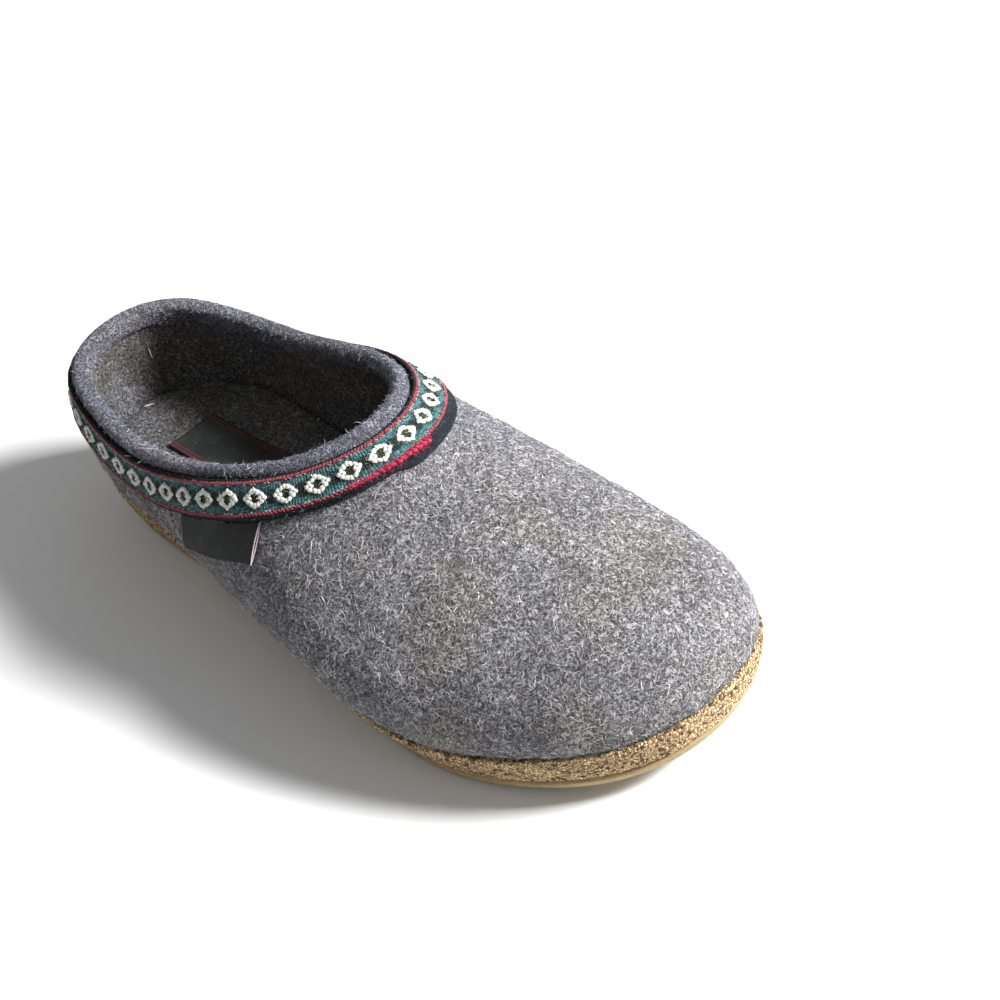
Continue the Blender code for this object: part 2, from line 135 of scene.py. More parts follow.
class SlipperSizes(bpy.types.PropertyGroup):
    """Sizes of the dressed slipper that a user would change."""

    felt_relief: bpy.props.FloatProperty(
        name="Felt relief", description="How far the felt's surface rolls up and down",
        default=0.35 * MM, unit="LENGTH",
    )
    fibre_width: bpy.props.FloatProperty(
        name="Fibre width", description="Width of a loose wool fibre",
        default=0.06 * MM, unit="LENGTH",
    )
    upper_fibres: bpy.props.IntProperty(
        name="Upper fibres", description="Number of loose fibres on the felt upper", default=39000,
    )
    roll_fibres: bpy.props.IntProperty(
        name="Roll fibres", description="Number of loose fibres on the collar's felt roll", default=15000,
    )
    motif_pitch: bpy.props.FloatProperty(
        name="Motif pitch", description="Distance from one ribbon motif to the next",
        default=10.4 * MM, unit="LENGTH",
    )
    motif_start: bpy.props.FloatProperty(
        name="Motif start", description="Distance of the first motif from the middle of the heel",
        default=9.0 * MM, unit="LENGTH",
    )
    red_line: bpy.props.FloatProperty(
        name="Red line", description="Distance of each red line from the ribbon's edge",
        default=1.25 * MM, unit="LENGTH",
    )
    granule: bpy.props.FloatProperty(
        name="Cork granule", description="Size of a cork granule", default=1.1 * MM, unit="LENGTH",
    )


class SlipperColours(bpy.types.PropertyGroup):
    """Colours of the dressed slipper that a user would change."""

    felt_dark: bpy.props.FloatVectorProperty(
        name="Felt dark", description="Dark wool of the grey felt", subtype="COLOR",
        default=(0.022, 0.0215, 0.0222),
    )
    felt_light: bpy.props.FloatVectorProperty(
        name="Felt light", description="Light wool of the grey felt", subtype="COLOR",
        default=(0.51, 0.50, 0.515),
    )
    roll_light: bpy.props.FloatVectorProperty(
        name="Roll light", description="Light wool of the collar's roll", subtype="COLOR",
        default=(0.37, 0.37, 0.44),
    )
    # Inside and footbed wool: the same grey felt as outside, painted darker and browner as the shade inside
    # the shoe
    shaded_inside_light: bpy.props.FloatVectorProperty(
        name="Shaded inside light", description="Light wool of the inside and the footbed", subtype="COLOR",
        default=(0.33, 0.32, 0.315),
    )
    field: bpy.props.FloatVectorProperty(
        name="Ribbon field", description="Teal wool of the ribbon", subtype="COLOR",
        default=(0.040, 0.100, 0.104),
    )
    motif: bpy.props.FloatVectorProperty(
        name="Ribbon motif", description="Off-white yarn of the ribbon's motifs", subtype="COLOR",
        default=(0.78, 0.78, 0.72),
    )
    crimson: bpy.props.FloatVectorProperty(
        name="Ribbon red", description="Crimson yarn of the ribbon's lines", subtype="COLOR",
        default=(0.30, 0.018, 0.045),
    )
    label_black: bpy.props.FloatVectorProperty(
        name="Label black", description="Black yarn of the two labels", subtype="COLOR",
        default=(0.021, 0.022, 0.022),
    )
    cork: bpy.props.FloatVectorProperty(
        name="Cork", description="Light granules of the cork", subtype="COLOR",
        default=(0.92, 0.63, 0.35),
    )
    rubber: bpy.props.FloatVectorProperty(
        name="Rubber", description="Tan rubber of the outsole", subtype="COLOR",
        default=(0.36, 0.27, 0.14),
    )


# Shader sums


class Value:
    """A shader socket that can be used in sums, each of which adds its Math node."""

    def __init__(self, shade, socket):
        self.shade = shade
        self.socket = socket

    def math(self, operation, *others):
        return self.shade.node("ShaderNodeMath", {"operation": operation}, dict(enumerate((self, *others))))

    def __add__(self, other):
        return self.math("ADD", other)

    def __radd__(self, other):
        return self.math("ADD", other)

    def __sub__(self, other):
        return self.math("SUBTRACT", other)

    def __rsub__(self, other):
        return self.shade.node("ShaderNodeMath", {"operation": "SUBTRACT"}, {0: other, 1: self})

    def __mul__(self, other):
        return self.math("MULTIPLY", other)

    def __rmul__(self, other):
        return self.math("MULTIPLY", other)

    def __truediv__(self, other):
        return self.math("DIVIDE", other)

    def __pow__(self, other):
        return self.math("POWER", other)

    def rise(self, low, high):
        """Goes smoothly from 0 at low to 1 at high, and from 1 to 0 where low is the higher."""
        return self.shade.node(
            "ShaderNodeMapRange",
            {"interpolation_type": "SMOOTHSTEP"},
            {"Value": self, "From Min": low, "From Max": high},
        )

    def bend(self, operation, other):
        """A sum of vectors."""
        return self.shade.node("ShaderNodeVectorMath", {"operation": operation}, {0: self, 1: other})

    def part(self, axis):
        """One of the three parts of a vector."""
        return self.shade.node("ShaderNodeSeparateXYZ", {}, {"Vector": self}, axis)


class Shade:
    """One material and its nodes."""

    def __init__(self, name, roughness, sheen=0.0, sheen_tint=(1, 1, 1)):
        self.material = bpy.data.materials.new(name)
        self.material.use_nodes = True
        self.tree = self.material.node_tree
        self.shader = self.tree.nodes["Principled BSDF"]
        self.shader.inputs["Roughness"].default_value = roughness
        self.shader.inputs["Sheen Weight"].default_value = sheen
        self.shader.inputs["Sheen Roughness"].default_value = 0.6
        self.shader.inputs["Sheen Tint"].default_value = (*sheen_tint, 1)
        self.shader.inputs["Specular IOR Level"].default_value = 0.25

    def node(self, kind, settings, sockets, output=0):
        made = self.tree.nodes.new(kind)
        for key, value in settings.items():
            setattr(made, key, value)
        for key, value in sockets.items():
            if isinstance(value, Value):
                self.tree.links.new(value.socket, made.inputs[key])
            elif made.inputs[key].type == "RGBA":
                made.inputs[key].default_value = (*value[:3], 1)
            else:
                made.inputs[key].default_value = value
        return Value(self, made.outputs[output])

    def place(self):
        return self.node("ShaderNodeTexCoord", {}, {}, "Object")

    def chart(self):
        return self.node("ShaderNodeUVMap", {"uv_map": "chart"}, {})

    def noise(self, place, scale, detail=2.0, distortion=0.0):
        sockets = {"Vector": place, "Scale": scale, "Detail": detail, "Distortion": distortion}
        return self.node("ShaderNodeTexNoise", {}, sockets)

    def warp(self, place, scale, amount):
        """The place, pushed about by a noise."""
        sockets = {"Vector": place, "Scale": scale, "Detail": 2.0}
        push = self.node("ShaderNodeTexNoise", {}, sockets, "Color")
        push = push.bend("SUBTRACT", (0.5, 0.5, 0.5)).bend("MULTIPLY", (amount, amount, amount))
        return place.bend("ADD", push)

    def threads(self, place, scale, width):
        """A tangle of thin curly lines: 1 on a line and 0 between."""
        sockets = {"Vector": place, "Scale": scale}
        far = self.node("ShaderNodeTexVoronoi", {"feature": "DISTANCE_TO_EDGE"}, sockets, "Distance")
        return far.rise(width, 0.0)

    def bands(self, place, axis, period, wander=0.5):
        """Soft ribs across an axis, from 0 between them to 1 on them. The node multiplies a place by 20, or
        by 10 for a diagonal."""
        turns = 10 if axis == "DIAGONAL" else 20
        scale = 2 * math.pi / (turns * period)
        sockets = {"Vector": place, "Scale": scale, "Distortion": wander, "Detail Scale": 3.0}
        settings = {"wave_type": "BANDS", "bands_direction": axis}
        return self.node("ShaderNodeTexWave", settings, sockets, 1)

    def mix(self, share, first, second, blend="MIX"):
        settings = {"data_type": "RGBA", "blend_type": blend, "clamp_factor": True}
        return self.node("ShaderNodeMix", settings, {0: share, 6: first, 7: second}, 2)

    def colour(self, value):
        self.tree.links.new(value.socket, self.shader.inputs["Base Color"])

    def rough(self, value):
        self.tree.links.new(value.socket, self.shader.inputs["Roughness"])

    def bump(self, height, distance, strength=1.0):
        sockets = {"Height": height, "Distance": distance, "Strength": strength}
        made = self.node("ShaderNodeBump", {}, sockets)
        self.tree.links.new(made.socket, self.shader.inputs["Normal"])


def scaled(colour, factor):
    return tuple(min(1.0, part * factor) for part in colour)


def tinted(colour, tint):
    return tuple(part * share for part, share in zip(colour, tint))


# Tints and colours of small things
LILAC = (0.95, 0.97, 1.14)
BEIGE = (1.10, 1.0, 0.84)
NAVY = (0.020, 0.023, 0.034)
OLIVE_BLACK = (0.030, 0.032, 0.018)
TEAL_SPECK = (0.20, 0.36, 0.34)
PALE_RED = (0.55, 0.38, 0.38)
LABEL_RED = (0.16, 0.022, 0.035)
SELVEDGE_PINK = (0.50, 0.40, 0.40)
LINT_GREY = (0.30, 0.29, 0.29)
BARK = (0.075, 0.04, 0.022)
BARK_CRUMB = (0.05, 0.027, 0.016)
PIT_BROWN = (0.09, 0.052, 0.027)
CORK_DIRT = (0.12, 0.085, 0.05)
RUBBER_DUST = (0.24, 0.215, 0.17)
STRAW_PALE = (0.80, 0.76, 0.62)
STRAW_BROWN = (0.50, 0.40, 0.26)


def felt(name, dark, light, threads_share=0.75, tint_share=0.5):
    """Felted wool: a tangle of light fibres over darker wool, in clouds of lilac and beige."""
    shade = Shade(name, 0.95, sheen=0.08, sheen_tint=scaled(light, 1.6))
    place = shade.place()
    tangle = shade.warp(shade.warp(place, 260.0, 0.0050), 900.0, 0.0016)
    crossed = tangle.bend("MULTIPLY", (0.8, 1.25, 1.0)).bend("ADD", (0.31, 0.17, 0.53))
    coarse = shade.threads(tangle, 640.0, 0.07)
    fine = shade.threads(crossed, 1150.0, 0.10)
    curl = shade.noise(tangle, 1500.0, 3.0, 1.2).rise(0.5, 0.62)
    patch = shade.noise(place, 55.0, 3.0)
    cloud = shade.noise(place, 17.0, 2.0)
    grain = shade.noise(place, 2600.0, 2.0)
    cover = patch.rise(0.25, 0.75) * 0.55 + 0.45
    pepper = shade.noise(tangle, 1150.0, 3.0, 0.8).rise(0.475, 0.60)
    body = (pepper * 0.82 + grain.rise(0.46, 0.62) * 0.14 + curl * 0.08) * (0.45 + 0.55 * cover)
    base = shade.mix(body, dark, light)
    lines = (coarse * 0.65 + fine * 0.15) * cover * threads_share
    laid = shade.mix(lines, base, scaled(light, 1.5))
    cool = shade.mix(cloud.rise(0.42, 0.62) * tint_share, laid, LILAC, "MULTIPLY")
    warm = shade.mix(cloud.rise(0.52, 0.34) * tint_share, cool, BEIGE, "MULTIPLY")
    shade.colour(warm)
    relief = pepper * 0.8 + coarse * 0.4 + fine * 0.3 + curl * 0.3 + grain * 0.4 + patch * 0.8
    shade.bump(relief, 0.6 * MM)
    return shade.material


def fibre_wool(name):
    """Loose fibres, each with its own colour."""
    shade = Shade(name, 0.9)
    tone = shade.node("ShaderNodeAttribute", {"attribute_name": "wool"}, {}, "Color")
    along = shade.noise(shade.place(), 900.0, 1.0)
    shade.colour(shade.mix(along.rise(0.3, 0.7) * 0.35, tone, (0.5, 0.5, 0.5), "MULTIPLY"))
    return shade.material


def ribbon_cloth(name, colours, width, pitch, start, red_line):
    """The woven ribbon's ground: heathered teal ribs, dark in and between the motifs, and black edges,
    partly painted shadow.
    """
    shade = Shade(name, 0.95)
    chart = shade.chart()
    fuzzy = shade.warp(chart, 800.0, 0.0006)
    run, across = fuzzy.part(0), fuzzy.part(1)
    ribs = shade.bands(fuzzy, "X", 0.95 * MM)
    wefts = shade.bands(fuzzy, "Y", 0.6 * MM)
    heather = shade.noise(chart.bend("MULTIPLY", (1.0, 2.2, 1.0)), 900.0, 3.0, 0.6)
    wool = shade.mix(heather.rise(0.38, 0.62), scaled(colours.field, 0.4), scaled(colours.field, 2.1))
    specks = shade.noise(chart, 1700.0, 2.0).rise(0.60, 0.72)
    wool = shade.mix(specks * 0.55, wool, TEAL_SPECK)
    beat = ((run - start) / pitch).math("FRACT") - 0.5
    aside = beat.math("ABSOLUTE") * pitch
    level = (across - width / 2).math("ABSOLUTE")
    hollow = ((aside / (2.2 * MM)) ** 2.0 + (level / (1.8 * MM)) ** 2.0).rise(1.3, 0.8)
    between = (0.5 - beat.math("ABSOLUTE")) * pitch
    gap = ((between / (2.3 * MM)) ** 2.0 + (level / (2.5 * MM)) ** 2.0).rise(1.25, 0.7)
    halo = ((aside / (4.4 * MM)) ** 2.0 + (level / (4.0 * MM)) ** 2.0).rise(1.2, 0.8)
    black = scaled(colours.label_black, 0.5)
    ground = shade.mix(halo * 0.55, wool, scaled(colours.field, 0.3))
    ground = shade.mix(gap * 0.9, ground, black)
    ground = shade.mix(hollow, ground, OLIVE_BLACK)
    # The black bands along both edges: partly the ribbon's woven black edge, partly painted shadow along
    # its edges, darkened to near black
    edge = level.rise(width / 2 - 1.3 * red_line, width / 2 - 1.0 * red_line)
    ground = shade.mix(edge, ground, black)
    red = (level - (width / 2 - red_line)).math("ABSOLUTE").rise(0.75 * MM, 0.45 * MM)
    ground = shade.mix(red, ground, scaled(colours.crimson, 0.45))
    shade.colour(ground)
    shade.bump(ribs * 0.5 + wefts * 0.35 + heather * 0.5, 0.35 * MM, 0.9)
    return shade.material


def yarn(name, colour, dull):
    """Yarn of the stitches: strands of one colour with darker wool between."""
    shade = Shade(name, 0.85, sheen=0.3)
    place = shade.warp(shade.place(), 700.0, 0.0008)
    strands = shade.noise(place, 2400.0, 3.0, 0.5)
    worn = shade.noise(place, 120.0, 2.0)
    base = shade.mix(strands.rise(0.35, 0.65), scaled(colour, dull), colour)
    shade.colour(shade.mix(worn.rise(0.45, 0.75) * 0.4, base, scaled(colour, 0.55)))
    shade.bump(strands, 0.25 * MM, 0.8)
    return shade.material


def label_cloth(name, black, line_colour=None, width=0.0):
    """Black label cloth: a close twill. A line colour adds two thin lines along each long edge."""
    shade = Shade(name, 0.75)
    chart = shade.chart()
    twill = shade.bands(chart, "DIAGONAL", 0.55 * MM)
    picks = shade.bands(chart, "Y", 0.5 * MM)
    lint = shade.threads(shade.warp(chart, 300.0, 0.003), 160.0, 0.012)
    wear = shade.noise(chart, 90.0, 3.0)
    base = shade.mix(twill * 0.4 + wear.rise(0.4, 0.7) * 0.5, scaled(black, 0.6), scaled(black, 1.9))
    if line_colour:
        level = chart.part(1)
        edge = width / 2 - (level - width / 2).math("ABSOLUTE")
        near = (edge - 1.0 * MM).math("ABSOLUTE").rise(0.30 * MM, 0.15 * MM)
        far = (edge - 2.3 * MM).math("ABSOLUTE").rise(0.30 * MM, 0.15 * MM)
        base = shade.mix((near + far) * (twill * 0.4 + 0.6), base, line_colour)
    shade.colour(shade.mix(lint * 0.10, base, LINT_GREY))
    shade.bump(twill * 0.6 + picks * 0.5 + wear * 0.6, 0.12 * MM, 0.8)
    return shade.material


def cork_grain(name, light, granule):
    """Pressed cork: granules from straw to brown, with dark bark specks and pits between."""
    shade = Shade(name, 0.85)
    place = shade.warp(shade.place(), 500.0, 0.0006)
    cells = {"Vector": place, "Scale": 1 / granule}
    tone = shade.node("ShaderNodeTexVoronoi", {}, cells, "Color").part(0)
    joint = shade.node("ShaderNodeTexVoronoi", {"feature": "DISTANCE_TO_EDGE"}, cells, "Distance")
    crumbs = {"Vector": place, "Scale": 2.4 / granule}
    crumb = shade.node("ShaderNodeTexVoronoi", {}, crumbs, "Color").part(1)
    grain = shade.noise(place, 3200.0, 3.0)
    base = shade.mix(tone, scaled(light, 0.62), scaled(light, 1.15))
    base = shade.mix(crumb.rise(0.55, 0.95) * 0.5, base, scaled(light, 0.42))
    base = shade.mix(tone.rise(0.20, 0.10), base, BARK)
    base = shade.mix(crumb.rise(0.13, 0.06), base, BARK_CRUMB)
    pits = joint.rise(0.13, 0.0)
    base = shade.mix(pits * 0.85, base, PIT_BROWN)
    dirt = shade.noise(place, 40.0, 3.0)
    base = shade.mix(dirt.rise(0.5, 0.8) * 0.35, base, CORK_DIRT)
    shade.colour(shade.mix(grain.rise(0.4, 0.7) * 0.3, base, scaled(light, 0.75)))
    shade.bump(joint.rise(0.0, 0.25) * 0.8 + tone * 0.5 + crumb * 0.4 + grain * 0.35, 0.6 * MM)
    return shade.material


def rubber_skin(name, tan):
    """Tan sheet rubber with fine flecks and scuffs, dusty in places, and a waved tread on its underside."""
    shade = Shade(name, 0.65)
    place = shade.place()
    fleck = shade.noise(place, 1800.0, 3.0)
    scuff = shade.noise(place.bend("MULTIPLY", (1.0, 1.0, 5.0)), 160.0, 4.0, 0.8)
    dust = shade.noise(place, 30.0, 3.0)
    base = shade.mix(fleck.rise(0.35, 0.7), scaled(tan, 0.8), scaled(tan, 1.15))
    base = shade.mix(scuff.rise(0.52, 0.7) * 0.5, base, scaled(tan, 0.55))
    shade.colour(shade.mix(dust.rise(0.5, 0.75) * 0.45, base, RUBBER_DUST))
    down = shade.node("ShaderNodeNewGeometry", {}, {}, "Normal").part(2).rise(-0.85, -0.97)
    tread = shade.bands(shade.warp(place, 60.0, 0.006), "Y", 5 * MM)
    shade.bump(fleck * 0.15 + scuff * 0.25 + down * tread.rise(0.3, 0.6) * 2.5, 0.4 * MM, 0.9)
    shade.rough(scuff * 0.25 + 0.55)
    return shade.material


def straw_skin(name):
    """Dry straw, pale with brown streaks."""
    shade = Shade(name, 0.6)
    streak = shade.noise(shade.place(), 1500.0, 2.0)
    shade.colour(shade.mix(streak.rise(0.3, 0.7), STRAW_PALE, STRAW_BROWN))
    shade.bump(streak, 0.1 * MM)
    return shade.material


def paper(name):
    """The pale floor."""
    shade = Shade(name, 0.9)
    cloud = shade.noise(shade.place(), 6.0, 2.0)
    shade.colour(shade.mix(cloud.rise(0.3, 0.7), (0.83, 0.83, 0.83), (0.86, 0.86, 0.86)))
    return shade.material


# Meshes


def merged(node):
    """A solid's mesh as one skin, its loose triangles merged and paired."""
    bm = bmesh.new()
    bm.from_mesh(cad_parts[node].data)
    bmesh.ops.remove_doubles(bm, verts=bm.verts, dist=MERGE)
    limits = {"angle_face_threshold": QUAD_BEND, "angle_shape_threshold": QUAD_SKEW}
    bmesh.ops.join_triangles(bm, faces=bm.faces, **limits)
    return bm


def modified(bm, name, kind, **values):
    """The skin as a mesh, with one modifier's work done on it."""
    mesh = bpy.data.meshes.new(name)
    bm.to_mesh(mesh)
    bm.free()
    holder = bpy.data.objects.new(name, mesh)
    bpy.context.scene.collection.objects.link(holder)
    modifier = holder.modifiers.new(kind, kind)
    for key, value in values.items():
        setattr(modifier, key, value)
    graph = bpy.context.evaluated_depsgraph_get()
    done = bpy.data.meshes.new_from_object(holder.evaluated_get(graph))
    bpy.data.objects.remove(holder)
    bpy.data.meshes.remove(mesh)
    return done


def subdivided(bm, name, rounds, firm=0.0):
    """The skin as a mesh, smoothed by subdivision. Its sharp edges keep a firmness from 0 to 1."""
    crease = bm.edges.layers.float.new("crease_edge")
    for edge in bm.edges:
        if len(edge.link_faces) == 2 and edge.calc_face_angle() > FIRM_EDGE:
            edge[crease] = firm
    return modified(bm, name, "SUBSURF", levels=rounds, render_levels=rounds)


def points_of(mesh):
    co = np.empty(len(mesh.vertices) * 3, np.float32)
    mesh.vertices.foreach_get("co", co)
    return co.reshape(-1, 3).astype(float)


def normals_of(mesh):
    out = np.empty(len(mesh.vertices) * 3, np.float32)
    mesh.vertex_normals.foreach_get("vector", out)
    return out.reshape(-1, 3).astype(float)


def set_points(mesh, points):
    mesh.vertices.foreach_set("co", np.asarray(points, np.float32).ravel())
    mesh.update()


def rough_up(mesh, height, wave, seed):
    """Rolls a mesh's surface up and down by a height, over a wave length."""
    points, out = points_of(mesh), normals_of(mesh)
    shift = Vector((seed, 2 * seed, 3 * seed))
    roll = [noise.fractal(Vector(p) / wave + shift, 1.0, 2.0, 3) for p in points]
    set_points(mesh, points + out * np.array(roll)[:, None] * height)


def shoe_point(along, across, up):
    return np.array((across * SHOE_WIDTH, LOWEST.y + along * SHOE_LENGTH, up * SHOE_HEIGHT))


def crease_felt(mesh):
    """Presses the table's soft creases into both faces of the felt."""
    points = points_of(mesh)
    core = np.full(len(points), CREASE_CORE * SHOE_HEIGHT)
    out = points - np.stack([np.zeros(len(points)), points[:, 1], core], 1)
    out /= np.linalg.norm(out, axis=1)[:, None]
    for row in CREASES:
        start, end = shoe_point(*row[:3]), shoe_point(*row[3:6])
        width, depth = row[6] * SHOE_WIDTH, row[7] * SHOE_HEIGHT
        line = end - start
        share = np.clip((points - start) @ line / (line @ line), 0, 1)
        far = np.linalg.norm(points - start - share[:, None] * line, axis=1)
        points = points + out * (depth * np.exp(-((far / width * 2) ** 2)))[:, None]
    set_points(mesh, points)


def skin_tree(mesh):
    faces = [tuple(face.vertices) for face in mesh.polygons]
    return BVHTree.FromPolygons([vert.co for vert in mesh.vertices], faces)


def add_piece(name, mesh, slot, *materials, node=None):
    """Makes the mesh a piece that rides with the shoe, in place of a solid where one is named."""
    made = bpy.data.objects.new(name, mesh)
    bpy.context.scene.collection.objects.link(made)
    for material in materials:
        mesh.materials.append(material)
    mesh.shade_smooth()
    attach(made, "root")
    if node:
        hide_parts(node)
    return made


def lay_fibres(name, mesh, slot, count, width, palette, keep=None):
    """Scatters loose curved fibres over a mesh. Each is a thin flat strip rooted in the surface, that runs
    along it, curls and lifts off. A row of the palette is a colour and its share. keep picks the places
    that get any."""
    length, lift, seed = FIBRES[name]
    rng = np.random.default_rng(seed)
    points = points_of(mesh)
    mesh.calc_loop_triangles()
    corners = np.empty(len(mesh.loop_triangles) * 3, np.int32)
    mesh.loop_triangles.foreach_get("vertices", corners)
    a, b, c = (points[corners.reshape(-1, 3)[:, i]] for i in range(3))
    cross = np.cross(b - a, c - a)
    area = np.linalg.norm(cross, axis=1)
    if keep is not None:
        area = area * np.array([keep(Vector(m), Vector(n)) for m, n in zip((a + b + c) / 3, cross)])
    pick = rng.choice(len(area), count, p=area / area.sum())
    share = np.sort(rng.random((count, 2)), axis=1)
    root = a[pick] * share[:, :1] + b[pick] * (share[:, 1:] - share[:, :1]) + c[pick] * (1 - share[:, 1:])
    up = cross[pick] / np.linalg.norm(cross[pick], axis=1)[:, None]
    ahead = np.cross(up, rng.normal(size=(count, 3)))
    ahead /= np.linalg.norm(ahead, axis=1)[:, None]
    aside = np.cross(up, ahead)
    steps = FIBRE_STEPS
    step = length * rng.lognormal(0.0, FIBRE_SPREAD, count)[:, None] / steps
    curl = rng.normal(0.0, FIBRE_CURL, count)[:, None]
    rise = lift * rng.random(count)[:, None] ** 2
    tip = lift * rng.random(count)[:, None] ** 3 * 1.6
    half = width / 2 * rng.uniform(0.7, 1.3, count)[:, None]
    lean = rng.normal(0.0, FIBRE_LEAN, count)[:, None]
    here, rings = root - up * FIBRE_ROOT, []
    for i in range(steps):
        heading = ahead * np.cos(curl * i) + aside * np.sin(curl * i)
        flat = np.cross(up, heading) + up * lean
        rings += [here - flat * half, here + flat * half]
        climb = rise if i < steps - 1 else tip
        here = here + heading * step + up * climb / steps * (2 if i == 0 else 1)
    rings.append(here)
    places = np.stack(rings, 1).reshape(-1, 3)
    each = 2 * steps + 1
    base = np.arange(count) * each
    faces = []
    for i in range(steps - 1):
        k = 2 * i
        faces.append(np.stack([base + k, base + k + 1, base + k + 3, base + k + 2], 1))
    tips = np.stack([base + each - 3, base + each - 2, base + each - 1], 1)
    laid = bpy.data.meshes.new(name)
    laid.from_pydata(places.tolist(), [], np.concatenate(faces).tolist() + tips.tolist())
    colours = np.array([row[0] for row in palette])
    weights = np.array([row[1] for row in palette])
    tone = colours[rng.choice(len(colours), count, p=weights / weights.sum())]
    tone = np.clip(tone * rng.uniform(0.75, 1.25, count)[:, None], 0, 1)
    wool = np.repeat(np.concatenate([tone, np.ones((count, 1))], 1), each, axis=0)
    layer = laid.attributes.new("wool", "FLOAT_COLOR", "POINT")
    layer.data.foreach_set("color", wool.astype(np.float32).ravel())
    return add_piece(name, laid, slot, fibre_wool(name))


def ordered(edges):
    """The vertices of a closed chain of edges, in order."""
    links = {}
    for edge in edges:
        for vert, other in (edge.verts, reversed(edge.verts)):
            links.setdefault(vert, []).append(other)
    first = min(links, key=lambda v: v.co.y)
    chain = [first, max(links[first], key=lambda v: v.co.x)]
    while len(chain) < len(links):
        chain.append(next(v for v in links[chain[-1]] if v is not chain[-2]))
    return [v.co.copy() for v in chain]


def islands(items, touching):
    """The items in sets, each of those that touch one another."""
    left, found = set(items), []
    while left:
        island, queue = set(), [left.pop()]
        while queue:
            item = queue.pop()
            island.add(item)
            fresh = left.intersection(touching(item))
            left -= fresh
            queue.extend(fresh)
        found.append(island)
    return found


def smooth_neighbours(face):
    """The faces that meet a face without a sharp edge."""
    soft = (edge for edge in face.edges if edge.calc_face_angle(0) < FIRM_EDGE)
    return [other for edge in soft for other in edge.link_faces]


def next_edges(edge):
    """The edges that share a vertex with an edge."""
    return [other for vert in edge.verts for other in vert.link_edges]


def broad_side(bm, facing):
    """Leaves only the side of a slab whose faces add up to the most area and face outwards by facing."""
    bm.normal_update()
    sides = islands(bm.faces, smooth_neighbours)
    best = max(sides, key=lambda side: sum(f.calc_area() * facing(f) for f in side))
    bmesh.ops.delete(bm, geom=[f for f in bm.faces if f not in best], context="FACES")
    return bm


def evenly(chain, count):
    """Points at even distances along a closed chain."""
    points = np.array([tuple(p) for p in chain + chain[:1]])
    gone = np.concatenate([[0], np.cumsum(np.linalg.norm(np.diff(points, axis=0), axis=1))])
    marks = np.linspace(0, gone[-1], count, endpoint=False)
    return np.stack([np.interp(marks, gone, points[:, i]) for i in range(3)], 1)


# Marks along the ribbon's upper edge, and how far to either side its direction is taken
RIBBON_MARKS = 1440
RIBBON_LOOK = 0.6 * MM


class RibbonPath:
    """Finds a place on the ribbon from a distance along it and down it."""

    def __init__(self):
        bm = broad_side(merged("ribbon"), lambda f: f.normal.dot(f.calc_center_median() - COLLAR_MIDDLE))
        rims = islands((edge for edge in bm.edges if edge.is_boundary), next_edges)
        chains = sorted((ordered(rim) for rim in rims), key=lambda c: sum(p.z for p in c) / len(c))
        self.top = evenly(chains[-1], RIBBON_MARKS)
        low = evenly(chains[0], 2 * RIBBON_MARKS)
        near = [int(np.argmin(((low - p) ** 2).sum(1))) for p in self.top]
        self.low = low[near]
        self.top, self.low = (np.concatenate([chain, chain[:1]]) for chain in (self.top, self.low))
        steps = np.diff((self.top + self.low) / 2, axis=0)
        self.gone = np.concatenate([[0], np.cumsum(np.linalg.norm(steps, axis=1))])
        self.length = float(self.gone[-1])
        self.width = float(np.linalg.norm(self.top - self.low, axis=1).mean())
        self.skin = BVHTree.FromBMesh(bm)
        bm.free()

    def place(self, run, down):
        """Point and outward normal at a distance along the ribbon and a share of its width down it."""
        run = run % self.length
        top, low = (
            Vector([float(np.interp(run, self.gone, chain[:, i])) for i in range(3)])
            for chain in (self.top, self.low)
        )
        point = top.lerp(low, down)
        near, out, _, _ = self.skin.find_nearest(point)
        if 0 < down < 1:
            point = near
        if out.dot(point - COLLAR_MIDDLE) < 0:
            out = -out
        return point, out

    def stitch(self, run, down, turn, length, width, height):
        """The axes and centre of one stitch, a small pillow of yarn, turned from the ribbon's run."""
        point, out = self.place(run, down)
        after, before = (self.place(run + step, down)[0] for step in (RIBBON_LOOK, -RIBBON_LOOK))
        ahead = (after - before).normalized()
        aside = out.cross(ahead).normalized()
        along = ahead * math.cos(turn) + aside * math.sin(turn)
        over = out.cross(along)
        return along * length / 2, over * width / 2, out * height / 2, point + out * height * 0.25


COLLAR_LOW, COLLAR_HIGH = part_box("ribbon")
COLLAR_MIDDLE = (COLLAR_LOW + COLLAR_HIGH) / 2
RIBBON = RibbonPath()


def pillows(name, stitches, around=8, over=5):
    """One mesh of small pillows. A pillow is its three half axes and its centre."""
    bm = bmesh.new()
    bmesh.ops.create_uvsphere(bm, u_segments=around, v_segments=over, radius=1)
    ball = np.array([vert.co for vert in bm.verts])
    faces = [[vert.index for vert in face.verts] for face in bm.faces]
    bm.free()
    points, skin = [], []
    for i, stitch in enumerate(stitches):
        axes = np.array([tuple(axis) for axis in stitch])
        points += (ball @ axes[:3] + axes[3]).tolist()
        skin += [[k + i * len(ball) for k in face] for face in faces]
    mesh = bpy.data.meshes.new(name)
    mesh.from_pydata(points, [], skin)
    return mesh


def woven_grid(across, down, place, size):
    """A sheet of quads laid by place(share across, share down), with its chart in metres."""
    bm = bmesh.new()
    bmesh.ops.create_grid(bm, x_segments=across, y_segments=down, size=0.5)
    chart = bm.loops.layers.uv.new("chart")
    spots = {vert: (vert.co.x + 0.5, 0.5 - vert.co.y) for vert in bm.verts}
    for face in bm.faces:
        for loop in face.loops:
            share = spots[loop.vert]
            loop[chart].uv = (share[0] * size[0], share[1] * size[1])
    for vert, share in spots.items():
        vert.co = place(*share)
    return bm


def faces_out(bm, facing):
    """Turns the sheet so that it faces the given way."""
    bm.normal_update()
    if sum(facing(f) * f.calc_area() for f in bm.faces) < 0:
        bmesh.ops.reverse_faces(bm, faces=bm.faces)


